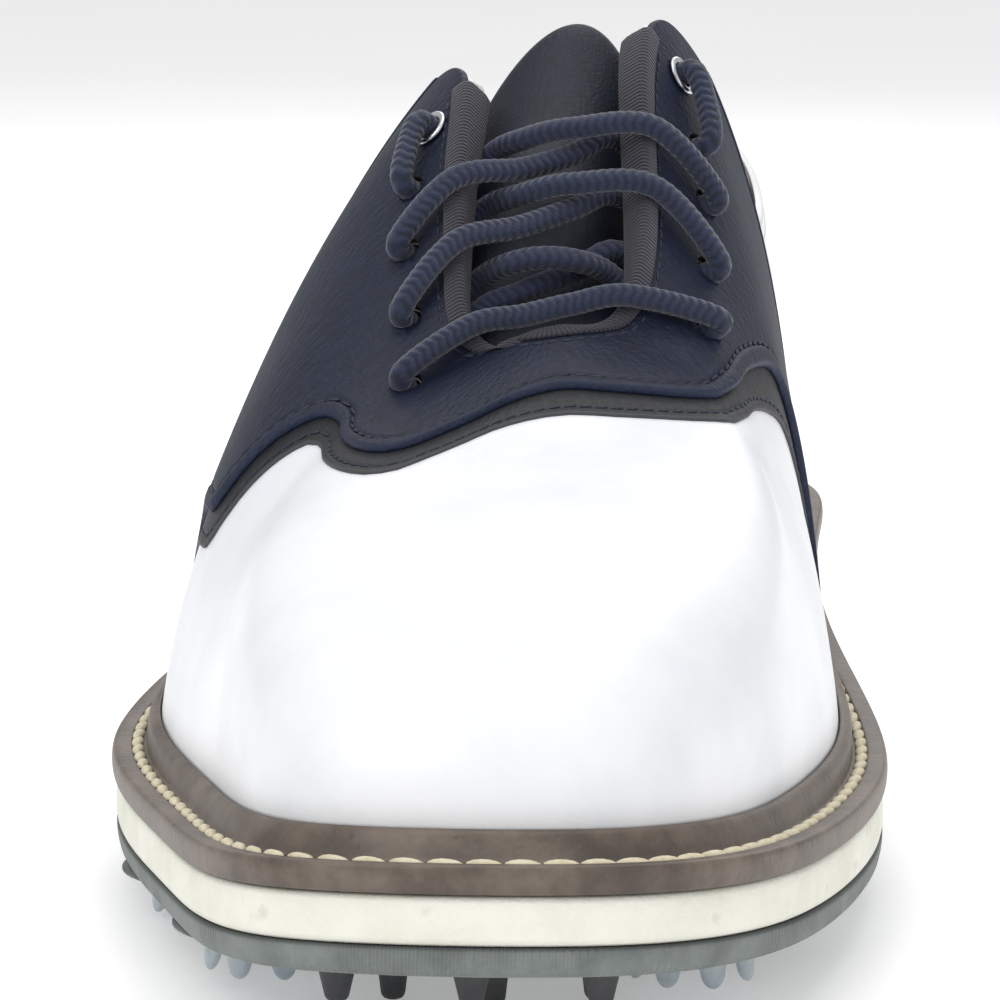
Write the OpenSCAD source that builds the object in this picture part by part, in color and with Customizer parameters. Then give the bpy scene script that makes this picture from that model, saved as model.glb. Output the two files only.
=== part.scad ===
// Spiked golf shoe for the right foot, saddle style, welted sole.
// Millimetres, +Z up, toe towards -Y, inner side of the foot towards +X.
// The origin is on the ground, in the middle of the shoe's outline.

/* [Sole] */
// Height of the outsole's underside above the ground at the ball
ground_gap = 6.5; // [6:0.1:7.5]
// Rise of the toe above the ball
toe_spring = 9; // [5:0.5:12]
// Thickness of the outsole
outsole_t = 4.2; // [3.5:0.1:5]
// Thickness of the midsole under the ball
midsole_t = 6.8; // [5.5:0.1:8]
// Extra thickness of the midsole under the heel
heel_rise = 12; // [8:0.5:15]
// Thickness of the welt at its edge
welt_t = 4; // [3:0.1:5]

/* [Upper] */
// Thickness of the lining leather
lining_t = 0.9; // [0.6:0.1:0.9]
// Thickness of the stiffeners between lining and outer leather
stiffener_t = 0.5; // [0.3:0.1:0.5]
// Thickness of the vamp and quarter leather
leather_t = 1.3; // [1:0.1:1.3]
// Thickness of the leather under the saddle
underlay_t = 0.4; // [0.4:0.1:0.5]
// Thickness of the saddle leather with its folded edge
saddle_t = 1.2; // [1:0.1:1.3]
// Thickness of the padding round the collar
collar_pad = 4.5; // [3:0.5:5]

/* [Cleats] */
// Diameter of a soft cleat's flange
cleat_d = 20; // [18:0.5:21]
// Diameter of a cleat's locking stem
stem_d = 10.4; // [9:0.2:10.6]
// Diameter of the socket's bore
socket_bore_d = 11; // [11:0.1:11.6]
// Diameter of a moulded traction stud at its base
stud_d = 5.4; // [4.5:0.1:6]

/* [Lace] */
// Diameter of the round lace
lace_d = 3.6; // [3.2:0.1:3.8]
// Diameter of a punched lace hole
hole_d = 4.6; // [4.4:0.1:5]
// Diameter of the metal eyelet's flange
eyelet_d = 6.6; // [6.2:0.1:7]

/* [Hidden] */

// Shifts that bring the outline's middle to the origin
shift_x = 0.7;
shift_y = -150.2;
// Clear gap left between stacked layers
gap = 0.1;
// Sides of a round sole part
round_n = 18;

// Colours
NAVY = [0.13, 0.17, 0.28];
WHITE = [0.94, 0.95, 0.97];
GREY = [0.45, 0.49, 0.49];
CREAM = [0.92, 0.92, 0.87];
BROWN = [0.42, 0.38, 0.35];
DARK = [0.22, 0.22, 0.24];
CLEAR = [0.8, 0.86, 0.86];
TAN = [0.78, 0.74, 0.63];
SILVER = [0.75, 0.76, 0.78];
LACE = [0.17, 0.21, 0.34];

// ---------- outline of the sole, 32 stations ----------
// [x, distance from the toe]; station 0 is the back of the heel, then the
// outer side, 16 is the toe, then the inner side
OUTLINE = [[8, 300.5], [-11, 295.5], [-25, 281], [-30.5, 262],
    [-32, 240], [-36, 216], [-43, 192], [-50.5, 168],
    [-56.5, 144], [-59, 120], [-56.8, 98], [-51, 76.5],
    [-44.5, 57], [-38.5, 38], [-32, 20.5], [-20.5, 5],
    [2, 0], [24, 5], [37.5, 19], [45.5, 36],
    [50.8, 55], [54.8, 75], [57.4, 97], [57, 120],
    [54, 144], [50, 168], [47, 192], [46, 216],
    [46.5, 240], [46.5, 262], [41, 281], [27, 295.5]];

// Top edge of the upper at the same stations: collar, facing, throat
// [x, distance from the toe, height]
CREST = [[7.5, 294, 98], [-5, 291, 97], [-15, 281, 94.5], [-21.5, 263, 88.5],
    [-26, 243, 84], [-28.5, 221, 84.5], [-29, 200, 88.5], [-23, 179, 100],
    [-6.3, 160.5, 118], [-6.4, 145, 107], [-6.3, 132, 94.5], [-6, 122.5, 85],
    [-4.3, 117.6, 80.2], [-1.3, 115.9, 78.4], [1.8, 116, 78.4], [4.6, 116.5, 78.7],
    [7, 117.1, 79.2], [9.3, 117.8, 79.7], [11.6, 118.5, 80.3], [13.9, 119.5, 81.2],
    [16.1, 121.3, 83], [17.7, 125, 87], [17.5, 133, 95.5], [16.5, 146, 108.5],
    [16, 163.5, 127], [27, 182, 109], [30.5, 200, 95], [32.5, 220, 88],
    [33, 241, 87], [32, 262, 90], [28, 281, 95], [20, 291, 97.5]];

// Shape of the wall at the same stations: [inset of its foot from the outline,
// outward lean at the foot, slope at the top edge, pull at foot, pull at top]
WALL = [[9, 12, 84, .36, .36], [9, 12, 84, .36, .36], [9, 10, 84, .36, .34],
    [8.5, 4, 84, .36, .32], [8.5, 0, 84, .36, .32], [8.5, -2, 82, .38, .32],
    [8.5, -3, 76, .37, .31], [8.5, -5, 64, .38, .31], [9, -6, 45, .35, .32],
    [9.5, -6, 39, .32, .31], [10, -4, 31, .32, .37], [10.5, -1, 30, .32, .38],
    [11, 2, 28, .3, .42], [11, 5, 26, .3, .45], [11.5, 7, 26, .3, .47],
    [12, 8, 26, .3, .48], [12, 8, 26, .3, .48], [12, 8, 26, .3, .48],
    [11.5, 7, 26, .3, .47], [11, 6, 28, .3, .44], [11, 4, 32, .31, .38],
    [10.5, 1, 38, .33, .32], [10, -2, 47, .31, .26], [9.5, -4, 54, .33, .24],
    [9, -5, 58, .33, .23], [8.5, -4, 70, .38, .27], [8.5, -3, 78, .38, .3],
    [8.5, -2, 82, .38, .32], [8.5, 0, 84, .36, .32], [8.5, 4, 84, .36, .32],
    [9, 10, 84, .36, .34], [9, 12, 84, .36, .36]];

// ---------- regions of the upper ----------
// Each row runs up the wall: [station, height share] at its lower end and at
// its upper end. Station 0 is the heel, 16 the toe; share 0 is the foot of the
// wall and 1 the top edge.
// The saddle's lower edge is drawn by a few of its points, from the back corner on
// the outer side round over the toe: [station, height share, station at the top edge]
SADDLE_EDGE = [[7.25, .055, 7.75], [8, .055, 8], [8.5, .25, 8.25], [9.25, .35, 8.75],
    [10, .4, 9.5], [10.5, .55, 10], [11.25, .7, 10.75], [12.5, .75, 12], [14.5, .75, 14.25],
    [15, .8, 15], [15.5, .875, 15.5], [16.5, .9, 16.5], [18, .85, 18], [20, .775, 19.75],
    [22, .65, 21.5], [23.5, .45, 23], [24.25, .2, 23.75], [24.5, .055, 24.25],
    [25.75, .055, 24.75]];
// Least height share of both layers, just above the welt
saddle_foot = .055;
// Catmull-Rom curve through a list's points, read at place s of the list
function along(list, s) = let (n = len(list) - 1, i = min(floor(s), n - 1), f = s - i,
        a = i == 0 ? 2 * list[0] - list[1] : list[i - 1], b = list[i], c = list[i + 1],
        d = i + 2 > n ? 2 * list[n] - list[n - 1] : list[i + 2])
    b + f / 2 * (c - a + f * (2 * a - 5 * b + 4 * c - d + f * (3 * (b - c) + d - a)));
SADDLE_ROWS = [for (s = [0:.5:18]) let (q = along(SADDLE_EDGE, s))
    [q[0], max(saddle_foot, q[1]), q[2], .995]];

// The underlay shows a strip below the saddle's front edge: its row runs from
// the strip's width towards the toe to the same width under the saddle
toe_station = 16;
strip_k = .03;
strip_share = .045;
tuck_share = .08;
UNDERLAY_ROWS = [for (s = [1:.5:17]) let (q = along(SADDLE_EDGE, s),
        d = strip_k * (toe_station - q[0]))
    [q[0] + d, max(saddle_foot, q[1] - strip_share), q[0] - d, q[1] + tuck_share]];

// Seam between vamp and quarters, hidden under the saddle
VAMP_ROWS = [[7.85, .012, 7.87, .06], [8.2, .012, 8.23, .22], [8.85, .012, 8.88, .38],
    [9.9, .012, 9.9, .6], [10.6, .012, 10.6, .74], [11.5, .012, 11.5, .78],
    [12.5, .012, 12.5, .795], [13.5, .012, 13.5, .84], [14.4, .012, 14.4, .87],
    [15, .012, 15, .93], [15.6, .012, 15.6, .965], [16.3, .012, 16.3, .97],
    [17, .012, 17, .965], [17.7, .012, 17.7, .95], [18.5, .012, 18.5, .93],
    [19.5, .012, 19.5, .9], [20.6, .012, 20.6, .83], [21.7, .012, 21.7, .74],
    [22.8, .012, 22.8, .62], [23.75, .012, 23.8, .47], [24.4, .012, 24.4, .32],
    [24.8, .012, 24.8, .17], [25.05, .012, 25.05, .06]];
LATERAL_FRONT = [[7.72, .012, 7.6, .995], [7.8, .09, 7.95, .995],
    [8.1, .24, 8.35, .995], [8.75, .4, 8.8, .995], [9.3, .53, 9.3, .995], [9.85, .64, 9.85, .995],
    [10.5, .76, 10.5, .995], [11.45, .8, 11.4, .995], [12.45, .815, 12.4, .995],
    [13.4, .86, 13.3, .995]];
MEDIAL_FRONT = [[25.15, .012, 24.8, .995], [25.1, .08, 24.5, .995],
    [24.85, .2, 24.15, .995], [24.45, .36, 23.75, .995], [23.85, .5, 23.2, .995],
    [22.85, .645, 22.6, .995], [21.8, .76, 21.7, .995], [20.7, .85, 20.7, .995],
    [19.6, .92, 19.6, .995]];

// Lace holes from the throat up: [station, height share]
HOLES_LATERAL = [[12.59, .875], [10.8, .895], [9.89, .897], [9.18, .895], [8.7, .925]];
HOLES_MEDIAL = [[21.49, .797], [22.51, .775], [23.2, .765], [23.54, .795], [23.81, .883]];

// ---------- curves ----------
function wrap(i, n) = ((i % n) + n) % n;
// Control points of a smooth closed curve that passes by the stations
function controls(tab) = let (n = len(tab))
    [for (i = [0:n - 1]) (8 * tab[i] - tab[wrap(i - 1, n)] - tab[wrap(i + 1, n)]) / 6];
OUTLINE_C = controls(OUTLINE);
CREST_C = controls(CREST);
WALL_C = controls(WALL);

// Point of a uniform cubic B-spline at station k
function curve(c, k) = let (n = len(c), i = floor(k), f = k - i)
    (c[wrap(i - 1, n)] * pow(1 - f, 3)
    + c[wrap(i, n)] * (3 * pow(f, 3) - 6 * f * f + 4)
    + c[wrap(i + 1, n)] * (-3 * pow(f, 3) + 3 * f * f + 3 * f + 1)
    + c[wrap(i + 2, n)] * pow(f, 3)) / 6;

function unit(v) = v / norm(v);
function clip(x) = min(1, max(0, x));
function ease(x) = let (c = clip(x)) c * c * (3 - 2 * c);

// Heights of the sole's layers at distance u from the toe
function underside(u) = ground_gap + toe_spring * pow(clip((105 - u) / 105), 2)
    + 3 * pow(clip((u - 262) / 38), 2);
function outsole_top(u) = underside(u) - 3 * pow(clip((u - 262) / 38), 2) + outsole_t;
function midsole_top(u) = outsole_top(u) + midsole_t + heel_rise * ease((u - 110) / 140);
function welt_top(u) = midsole_top(u) + welt_t;

// Outward direction of the outline in plan
function outward(k) = let (d = curve(OUTLINE_C, k + 0.05) - curve(OUTLINE_C, k - 0.05))
    unit([d[1], -d[0]]);
// Outline moved inwards by d, as [x, u]
function inset(k, d) = curve(OUTLINE_C, k) - d * outward(k);
// Foot of the upper's wall
function foot(k) = let (p = inset(k, curve(WALL_C, k)[0])) [p[0], p[1], welt_top(p[1])];

// Inner face of the upper: one cubic curve from foot to top edge per station
function wall(k, t) = let (f = foot(k), c = curve(CREST_C, k), s = curve(WALL_C, k),
        o = outward(k), h = norm(c - f),
        a = f + h * s[3] * [o[0] * sin(s[1]), o[1] * sin(s[1]), cos(s[1])],
        b = c + h * s[4] * [o[0] * cos(s[2]), o[1] * cos(s[2]), -sin(s[2])],
        r = 1 - t)
    f * pow(r, 3) + 3 * a * t * r * r + 3 * b * t * t * r + c * pow(t, 3);
// Outward normal of that face
function wall_normal(k, t) =
    unit(cross(wall(k + 0.03, t) - wall(k - 0.03, t), wall(k, t + 0.01) - wall(k, t - 0.01)));
// Point at height w above that face
function skin(k, t, w) = wall(k, t) + w * wall_normal(k, t);

// Levels of the stacked layers above the inner face
stiffener_w = 1.12;
leather_w = 2;
underlay_w = 3.6;
saddle_w = 4.5;

// ---------- solids from grids ----------
function lift(p) = [p[0] + shift_x, p[1] + shift_y, p[2]];
// Triangles of one grid of n by m points that starts at point base
function sheet_faces(n, m, base, flip) = [for (i = [0:n - 2], j = [0:m - 2])
    let (a = base + i * m + j, b = a + m, c = b + 1, d = a + 1)
    each (flip ? [[a, c, b], [a, d, c]] : [[a, b, c], [a, c, d]])];
// Triangles between the rims of two grids, for a list of rim points
function rim_faces(rim, off, flip) = [for (i = [0:len(rim) - 1])
    let (a = rim[i], b = rim[(i + 1) % len(rim)], c = b + off, d = a + off)
    each (flip ? [[a, c, b], [a, d, c]] : [[a, b, c], [a, c, d]])];
function grid_rim(n, m) = concat([for (j = [0:m - 2]) j],
    [for (i = [0:n - 2]) i * m + m - 1],
    [for (j = [0:m - 2]) (n - 1) * m + m - 1 - j],
    [for (i = [0:n - 2]) (n - 1 - i) * m]);
// Closed body between two grids with the same n by m layout
module between(top, bottom, n, m) {
    polyhedron(points = [for (p = concat(top, bottom)) lift(p)],
        faces = concat(sheet_faces(n, m, 0, true), sheet_faces(n, m, n * m, false),
            rim_faces(grid_rim(n, m), n * m, true)));
}
// One layer of the upper over a region, from level w0 to level w1
module layer(rows, w0, w1, m) {
    at = [for (r = rows, j = [0:m - 1]) let (f = j / (m - 1))
        [r[0] + (r[2] - r[0]) * f, r[1] + (r[3] - r[1]) * f]];
    between([for (q = at) skin(q[0], q[1], w1)], [for (q = at) skin(q[0], q[1], w0)],
        len(rows), m);
}
// The lower share of some rows, so that a piece lies on its neighbour's grid
function lower(rows, f) = [for (r = rows) [r[0], r[1], r[0] + (r[2] - r[0]) * f,
    r[1] + (r[3] - r[1]) * f]];

// Places of the outline used for a sole slab, as pairs across the shoe
slab_n = 64;
function slab_at(i) = i * 32 / slab_n;
function slab_inset(d) = [for (i = [0:slab_n - 1]) inset(slab_at(i), d)];
// Slab with closed top and bottom between two rings of slab_n points
module slab(top, bottom) {
    n = slab_n;
    h = n / 2;
    cap = [for (i = [0:h - 1])
        let (a = i, b = i + 1, c = wrap(n - i - 1, n), d = wrap(n - i, n))
        each (i == 0 ? [[a, b, c]] : i == h - 1 ? [[a, b, d]] : [[a, b, c], [a, c, d]])];
    sides = [for (i = [0:n - 1]) let (a = i, b = (i + 1) % n)
        each [[a, a + n, b + n], [a, b + n, b]]];
    polyhedron(points = [for (p = concat(top, bottom)) lift(p)],
        faces = concat([for (f = cap) [f[2], f[1], f[0]]],
            [for (f = cap) [f[0] + n, f[1] + n, f[2] + n]], [for (f = sides) [f[2], f[1], f[0]]]));
}

// ---------- sole ----------
// Soft cleats: [x, distance from the toe]
CLEATS = [[-28, 50], [31, 50], [-41, 88], [41, 90], [-36, 126],
    [-17, 232], [33, 232], [-12, 272], [28, 272]];
// Depths measured from the outsole's underside
seat_depth = 0.8;
// Clearance between a cleat's flange and its seat
seat_gap = 0.3;
socket_h = 7;
socket_wall = 3;
stem_h = 3.4;
flange_t = 1.4;
tooth_n = 8;
TOE_STUDS = [[-15, 19], [3, 17.5], [20, 20]];
FOREFOOT_STUDS = [[-10, 44], [4, 42], [18, 46], [-2, 68], [16, 70], [-20, 72],
    [0, 96], [20, 98], [-20, 98], [-8, 122], [14, 122], [34, 124]];
HEEL_STUDS = [[8, 222], [8, 244], [-2, 256], [18, 256], [8, 268], [8, 290]];
plug_h = 1.6;

function place(c) = [c[0] + shift_x, c[1] + shift_y, underside(c[1])];
module studs(list, tip) {
    for (c = list) {
        translate(place(c)) {
            h = tip < 0 ? underside(c[1]) : tip;
            translate([0, 0, -h])
                cylinder(d1 = stud_d * 0.62, d2 = stud_d, h = h - 1);
            translate([0, 0, -1])
                cylinder(d = stud_d, h = 1 + plug_h);
        }
    }
}
module stud_sockets(list) {
    for (c = list)
        translate(place(c) + [0, 0, -3])
            cylinder(d = stud_d, h = 3 + plug_h);
}
module outsole() {
    color(GREY) difference() {
        slab([for (p = slab_inset(0)) [p[0], p[1], outsole_top(p[1])]],
            [for (p = slab_inset(0.8)) [p[0], p[1], underside(p[1])]]);
        for (c = CLEATS) translate(place(c)) {
            translate([0, 0, -6])
                cylinder(d = cleat_d + 1.4, h = 6 + seat_depth, $fn = round_n);
            cylinder(d = socket_bore_d + 2 * socket_wall, h = 12, $fn = round_n);
        }
        stud_sockets(TOE_STUDS);
        stud_sockets(FOREFOOT_STUDS);
        stud_sockets(HEEL_STUDS);
    }
}
module toe_studs() { color(DARK) studs(TOE_STUDS, 5.7); }
module forefoot_studs() { color(DARK) studs(FOREFOOT_STUDS, -1); }
module heel_studs() { color(DARK) studs(HEEL_STUDS, -1); }

// Sockets start at the seat and reach into the midsole
module cleat_sockets() {
    color(DARK) for (c = CLEATS) translate(place(c) + [0, 0, seat_depth]) difference() {
        cylinder(d = socket_bore_d + 2 * socket_wall, h = socket_h, $fn = round_n);
        translate([0, 0, -1])
            cylinder(d = socket_bore_d, h = 1 + stem_h + 0.6, $fn = round_n);
    }
}
// A cleat hangs by its stem; its teeth lean outwards and end at the ground
module cleat(i) {
    c = CLEATS[i];
    reach = ground_gap + seat_depth - seat_gap - flange_t - 0.3;
    color(CLEAR, 0.8) translate(place(c) + [0, 0, seat_depth - seat_gap]) {
        cylinder(d = stem_d, h = stem_h, $fn = round_n);
        translate([0, 0, -flange_t]) cylinder(d = cleat_d, h = flange_t, $fn = round_n);
        translate([0, 0, -flange_t - 1.2]) cylinder(d1 = 6, d2 = 8, h = 1.2, $fn = 8);
        for (a = [0:tooth_n - 1]) rotate([0, 0, 360 * (a + 0.5) / tooth_n])
            translate([cleat_d / 2 - 2.2, 0, -flange_t - reach])
                cylinder(d1 = 2.2, d2 = 3.6, h = reach);
    }
}
module cleat_1() { cleat(0); }
module cleat_2() { cleat(1); }
module cleat_3() { cleat(2); }
module cleat_4() { cleat(3); }
module cleat_5() { cleat(4); }
module cleat_6() { cleat(5); }
module cleat_7() { cleat(6); }
module cleat_8() { cleat(7); }
module cleat_9() { cleat(8); }

module midsole() {
    color(CREAM) difference() {
        slab([for (p = slab_inset(0.4)) [p[0], p[1], midsole_top(p[1])]],
            [for (p = slab_inset(0)) [p[0], p[1], outsole_top(p[1]) + gap / 2]]);
        for (c = CLEATS) translate(place(c))
            cylinder(d = socket_bore_d + 2 * socket_wall, h = seat_depth + socket_h + 0.1,
                $fn = round_n);
    }
}
// The shank lies in the cork under the waist
shank_w = 14;
shank_t = 1.4;
shank_from = 135;
shank_to = 240;
function bar_points(w, low, high) = [for (i = [0:12])
    let (u = shank_from + (shank_to - shank_from) * i / 12, x = 1 + (u - shank_from) * 0.06)
    each [[x - w / 2, u, midsole_top(u) + low], [x + w / 2, u, midsole_top(u) + low],
        [x + w / 2, u, midsole_top(u) + high], [x - w / 2, u, midsole_top(u) + high]]];
module bar(w, low, high) {
    polyhedron(points = [for (p = bar_points(w, low, high)) lift(p)],
        faces = concat([[2, 1, 0], [3, 2, 0], [48, 49, 50], [48, 50, 51]],
            [for (i = [0:11], j = [0:3]) let (a = 4 * i + j, b = 4 * i + (j + 1) % 4)
                each [[b + 4, a + 4, a], [b, b + 4, a]]]));
}
welt_reach = 14;
module cork_filler() {
    color("peru") difference() {
        slab([for (p = slab_inset(welt_reach + 0.2)) [p[0], p[1], welt_top(p[1]) - gap]],
            [for (p = slab_inset(welt_reach + 0.2)) [p[0], p[1], midsole_top(p[1]) + gap]]);
        bar(shank_w + 0.4, 0.6, 0.8 + shank_t + 0.2);
    }
}
module shank() { color(SILVER) bar(shank_w, 0.8, 0.8 + shank_t); }
// The board and the footbed follow the foot of the wall
function board_ring(d, z) = [for (i = [0:slab_n - 1])
    let (k = slab_at(i), p = inset(k, curve(WALL_C, k)[0] + d)) [p[0], p[1], welt_top(p[1]) + z]];
board_t = 2;
footbed_t = 4;
module insole_board() { color("tan") slab(board_ring(0.5, board_t), board_ring(0.5, gap)); }
module footbed() {
    color("silver") slab(board_ring(2.2, board_t + gap + footbed_t), board_ring(1.2, board_t + gap));
}

// ---------- welt ----------
ring_n = 54;
rand_h = 3;
groove_d = 1.3;
function welt_profile(k) = let (f = curve(WALL_C, k)[0], o = inset(k, 0),
        rim = skin(k, 0.045, leather_w + leather_t + 0.15),
        low = skin(k, 0, leather_w + leather_t + 0.15),
        h = function (d, z) let (p = inset(k, d)) [p[0], p[1], welt_top(p[1]) + z])
    [h(-0.5, -welt_t + 0.05), h(-0.5, -0.5), h(0, 0), h(2.3, 0), h(2.9, -groove_d),
    h(3.7, -groove_d), h(4.3, 0), rim + [0, 0, -0.6] + [outward(k)[0], outward(k)[1], 0] * 1.2,
    rim, [low[0], low[1], welt_top(low[1]) - 0.05], h(welt_reach, -0.05),
    h(welt_reach, -welt_t + 0.05)];
// Closed ring that carries a profile of m points round the shoe
module ring(profiles) {
    n = len(profiles);
    m = len(profiles[0]);
    polyhedron(points = [for (s = profiles, p = s) lift(p)],
        faces = [for (i = [0:n - 1], j = [0:m - 1])
            let (a = i * m + j, b = i * m + (j + 1) % m, c = ((i + 1) % n) * m + (j + 1) % m,
                d = ((i + 1) % n) * m + j)
            each [[a, b, c], [a, c, d]]]);
}
module welt() {
    color(BROWN) ring([for (i = [0:ring_n - 1]) welt_profile(i * 32 / ring_n)]);
}
stitch_d = 1.1;
module welt_stitching() {
    color(TAN) ring([for (i = [0:ring_n - 1]) let (k = i * 32 / ring_n, p = inset(k, 3.3),
            o = outward(k), z = welt_top(p[1]) - groove_d + stitch_d / 2 + 0.05)
        [for (a = [0:3]) [p[0], p[1], z] + stitch_d / 2 * [o[0] * cos(90 * a),
            o[1] * cos(90 * a), sin(90 * a)]]]);
}

// ---------- upper ----------
module drill(list, d, w0, w1) {
    for (h = list) aim(h, w0) cylinder(d = d, h = w1 - w0);
}
// Moves to level w at a place on the upper, with Z along its normal
module aim(h, w) {
    v = wall_normal(h[0], h[1]);
    translate(lift(skin(h[0], h[1], w)))
        rotate([0, acos(v[2]), atan2(v[1], v[0])]) children();
}
vamp_m = 10;
module vamp() { color(WHITE) layer(VAMP_ROWS, leather_w, leather_w + leather_t, vamp_m); }
module vamp_lining() { color("gainsboro") layer(VAMP_ROWS, 0, lining_t, vamp_m); }
module toe_puff() {
    rows = [for (i = [6:15]) VAMP_ROWS[i]];
    color("beige") layer(lower(rows, 4 / (vamp_m - 1)), stiffener_w,
        stiffener_w + stiffener_t, 5);
}
// Height share at which the upper's base layers start, above the welt
foot_t = .012;
quarter_m = 8;
// Rows of each side from the heel seam forwards
LATERAL_REAR = [for (i = [0:12]) [0.03 + 7.3 * i / 12, foot_t, 0.03 + 7.17 * i / 12, .995]];
MEDIAL_REAR = [for (i = [11:-1:0]) [31.97 - 6.57 * i / 11, foot_t, 31.97 - 6.97 * i / 11, .995]];
lateral_rows = concat(LATERAL_REAR, LATERAL_FRONT);
medial_rows = concat([for (i = [8:-1:0]) MEDIAL_FRONT[i]], MEDIAL_REAR);
module lateral_quarter() {
    color(WHITE) difference() {
        layer(lateral_rows, leather_w, leather_w + leather_t, quarter_m);
        drill(HOLES_LATERAL, hole_d, -1, 5);
    }
}
module medial_quarter() {
    color(WHITE) difference() {
        layer(medial_rows, leather_w, leather_w + leather_t, quarter_m);
        drill(HOLES_MEDIAL, hole_d, -1, 5);
    }
}
// The linings end below the padded collar
lining_share = 4 / (quarter_m - 1);
module lateral_lining() {
    color("gainsboro") difference() {
        layer(concat(lower([for (i = [0:10]) LATERAL_REAR[i]], lining_share),
            [LATERAL_REAR[11], LATERAL_REAR[12]], LATERAL_FRONT), 0, lining_t, quarter_m - 1);
        drill(HOLES_LATERAL, hole_d, -2, 5);
    }
}
module medial_lining() {
    color("gainsboro") difference() {
        layer(concat([for (i = [8:-1:0]) MEDIAL_FRONT[i]], [MEDIAL_REAR[0]],
            lower([for (i = [1:11]) MEDIAL_REAR[i]], lining_share)), 0, lining_t, quarter_m - 1);
        drill(HOLES_MEDIAL, hole_d, -2, 5);
    }
}
// The counter goes round the heel on the quarters' rows
module heel_counter() {
    rows = concat([for (i = [4:11]) MEDIAL_REAR[i] - [32, 0, 32, 0]],
        [for (i = [0:6]) LATERAL_REAR[i]]);
    color("beige") layer(lower(rows, 3 / (quarter_m - 1)), stiffener_w,
        stiffener_w + stiffener_t, 4);
}
module lateral_stay() {
    color("beige") difference() {
        layer([for (k = [8.2:0.49:13.1]) [k, k > 11 ? .82 : .84, k, .985]],
            stiffener_w, stiffener_w + stiffener_t, 4);
        drill(HOLES_LATERAL, hole_d, -2, 5);
    }
}
module medial_stay() {
    color("beige") difference() {
        layer([for (k = [20.9:0.5:24.4]) [k, .735, k, .985]],
            stiffener_w, stiffener_w + stiffener_t, 4);
        drill(HOLES_MEDIAL, hole_d, -2, 5);
    }
}
// Depth of the collar padding over its height, thickest two thirds up
function puff(f) = collar_pad * sin(180 * pow(f, 0.8));
function collar_grid(n, m, w) = [for (i = [0:n], j = [0:m]) let (f = j / m)
    skin(-5.9 + 12 * i / n, .6 + .39 * f, w == 0 ? 1.5 : -puff(f) - w)];
module collar_padding() {
    color("lightgrey") between(collar_grid(18, 5, 0), collar_grid(18, 5, -0.05), 19, 6);
}
module collar_lining() {
    color("gainsboro") between(collar_grid(18, 5, 0.1), collar_grid(18, 5, 0.9), 19, 6);
}
module saddle_underlay() {
    color(DARK) layer(UNDERLAY_ROWS, underlay_w, underlay_w + underlay_t, 5);
}
module saddle() {
    color(NAVY) difference() {
        layer(SADDLE_ROWS, saddle_w, saddle_w + saddle_t, 8);
        drill(HOLES_LATERAL, hole_d, 2, 8);
        drill(HOLES_MEDIAL, hole_d, 2, 8);
    }
}
module back_strip() {
    color(NAVY) layer([for (i = [-3:3]) [i * 0.42, .09, i * 0.3, .97]],
        underlay_w, underlay_w + 1.2, 7);
}
// Folded tape over the edges of the facings and the throat
binding_t = 0.45;
module facing_binding() {
    n = 34;
    top_w = saddle_w + saddle_t + 0.1;
    low_w = -0.15;
    ends = [8.5, 23.75];
    sections = [for (i = [0:n]) let (k = ends[0] + (ends[1] - ends[0]) * i / n,
            s = 2.7 / norm(wall(k, .9) - wall(k, 1)) * .1)
        [skin(k, 1 - s, top_w + binding_t), skin(k, 1.008, top_w + binding_t),
        skin(k, 1.008, low_w - binding_t), skin(k, 1 - s, low_w - binding_t),
        skin(k, 1 - s, low_w), skin(k, 1.002, low_w), skin(k, 1.002, top_w),
        skin(k, 1 - s, top_w)]];
    color("dimgray") polyhedron(points = [for (s = sections, p = s) lift(p)],
        faces = concat([for (i = [0:n - 1], j = [0:7])
            let (a = i * 8 + j, b = i * 8 + (j + 1) % 8)
            each [[a, b, b + 8], [a, b + 8, a + 8]]],
            channel_cap(0, true), channel_cap(n * 8, false)));
}
// Two legs and a bridge close one end of the tape
function channel_cap(base, flip) = [for (q = [[0, 1, 6, 7], [1, 2, 5, 6], [2, 3, 4, 5]])
    each (flip ? [[q[2] + base, q[1] + base, q[0] + base], [q[3] + base, q[2] + base, q[0] + base]]
    : [[q[0] + base, q[1] + base, q[2] + base], [q[0] + base, q[2] + base, q[3] + base]])];

// ---------- tongue ----------
// Rows from under the vamp to the free top; each row holds the four control
// points of one arched cross-section, outer side first: [x, u, height]
TONGUE = [[[-12, 94, 57], [0, 102, 67], [13, 102, 67], [23, 94, 57]],
    [[-17, 107, 61], [-5, 118, 73], [16, 118, 73.5], [25, 108, 61]],
    [[-18.5, 122, 71], [-7.5, 130.5, 86.5], [16, 130.5, 87.5], [23, 123, 70.5]],
    [[-17.5, 135.5, 80], [-7, 141, 99.5], [14.5, 142, 102.5], [20.5, 137, 81]],
    [[-15.5, 147, 88], [-6.5, 151.5, 109.5], [12.5, 152.5, 114.5], [18.5, 149, 91]],
    [[-14, 157, 92], [-6, 160, 115], [11, 162, 127], [18.5, 159, 103]],
    [[-13, 166, 98], [-6, 169, 122], [9, 170, 138], [18, 168, 117]]];
tongue_cover_t = 1.2;
tongue_pad_t = 2.6;
tongue_back_t = 0.8;
function arch(p, v) = let (r = 1 - v) p[0] * pow(r, 3) + 3 * p[1] * v * r * r
    + 3 * p[2] * v * v * r + p[3] * pow(v, 3);
function tongue_face(s, v) = let (i = min(floor(max(s, 0)), 5), f = s - i)
    arch(TONGUE[i] * (1 - f) + TONGUE[i + 1] * f, v);
function tongue_skin(s, v, w) = let (
        e = unit(cross(tongue_face(s, v + 0.01) - tongue_face(s, v - 0.01),
            tongue_face(s + 0.02, v) - tongue_face(s - 0.02, v))))
    tongue_face(s, v) - w * e;
tongue_n = 11;
tongue_m = 7;
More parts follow.
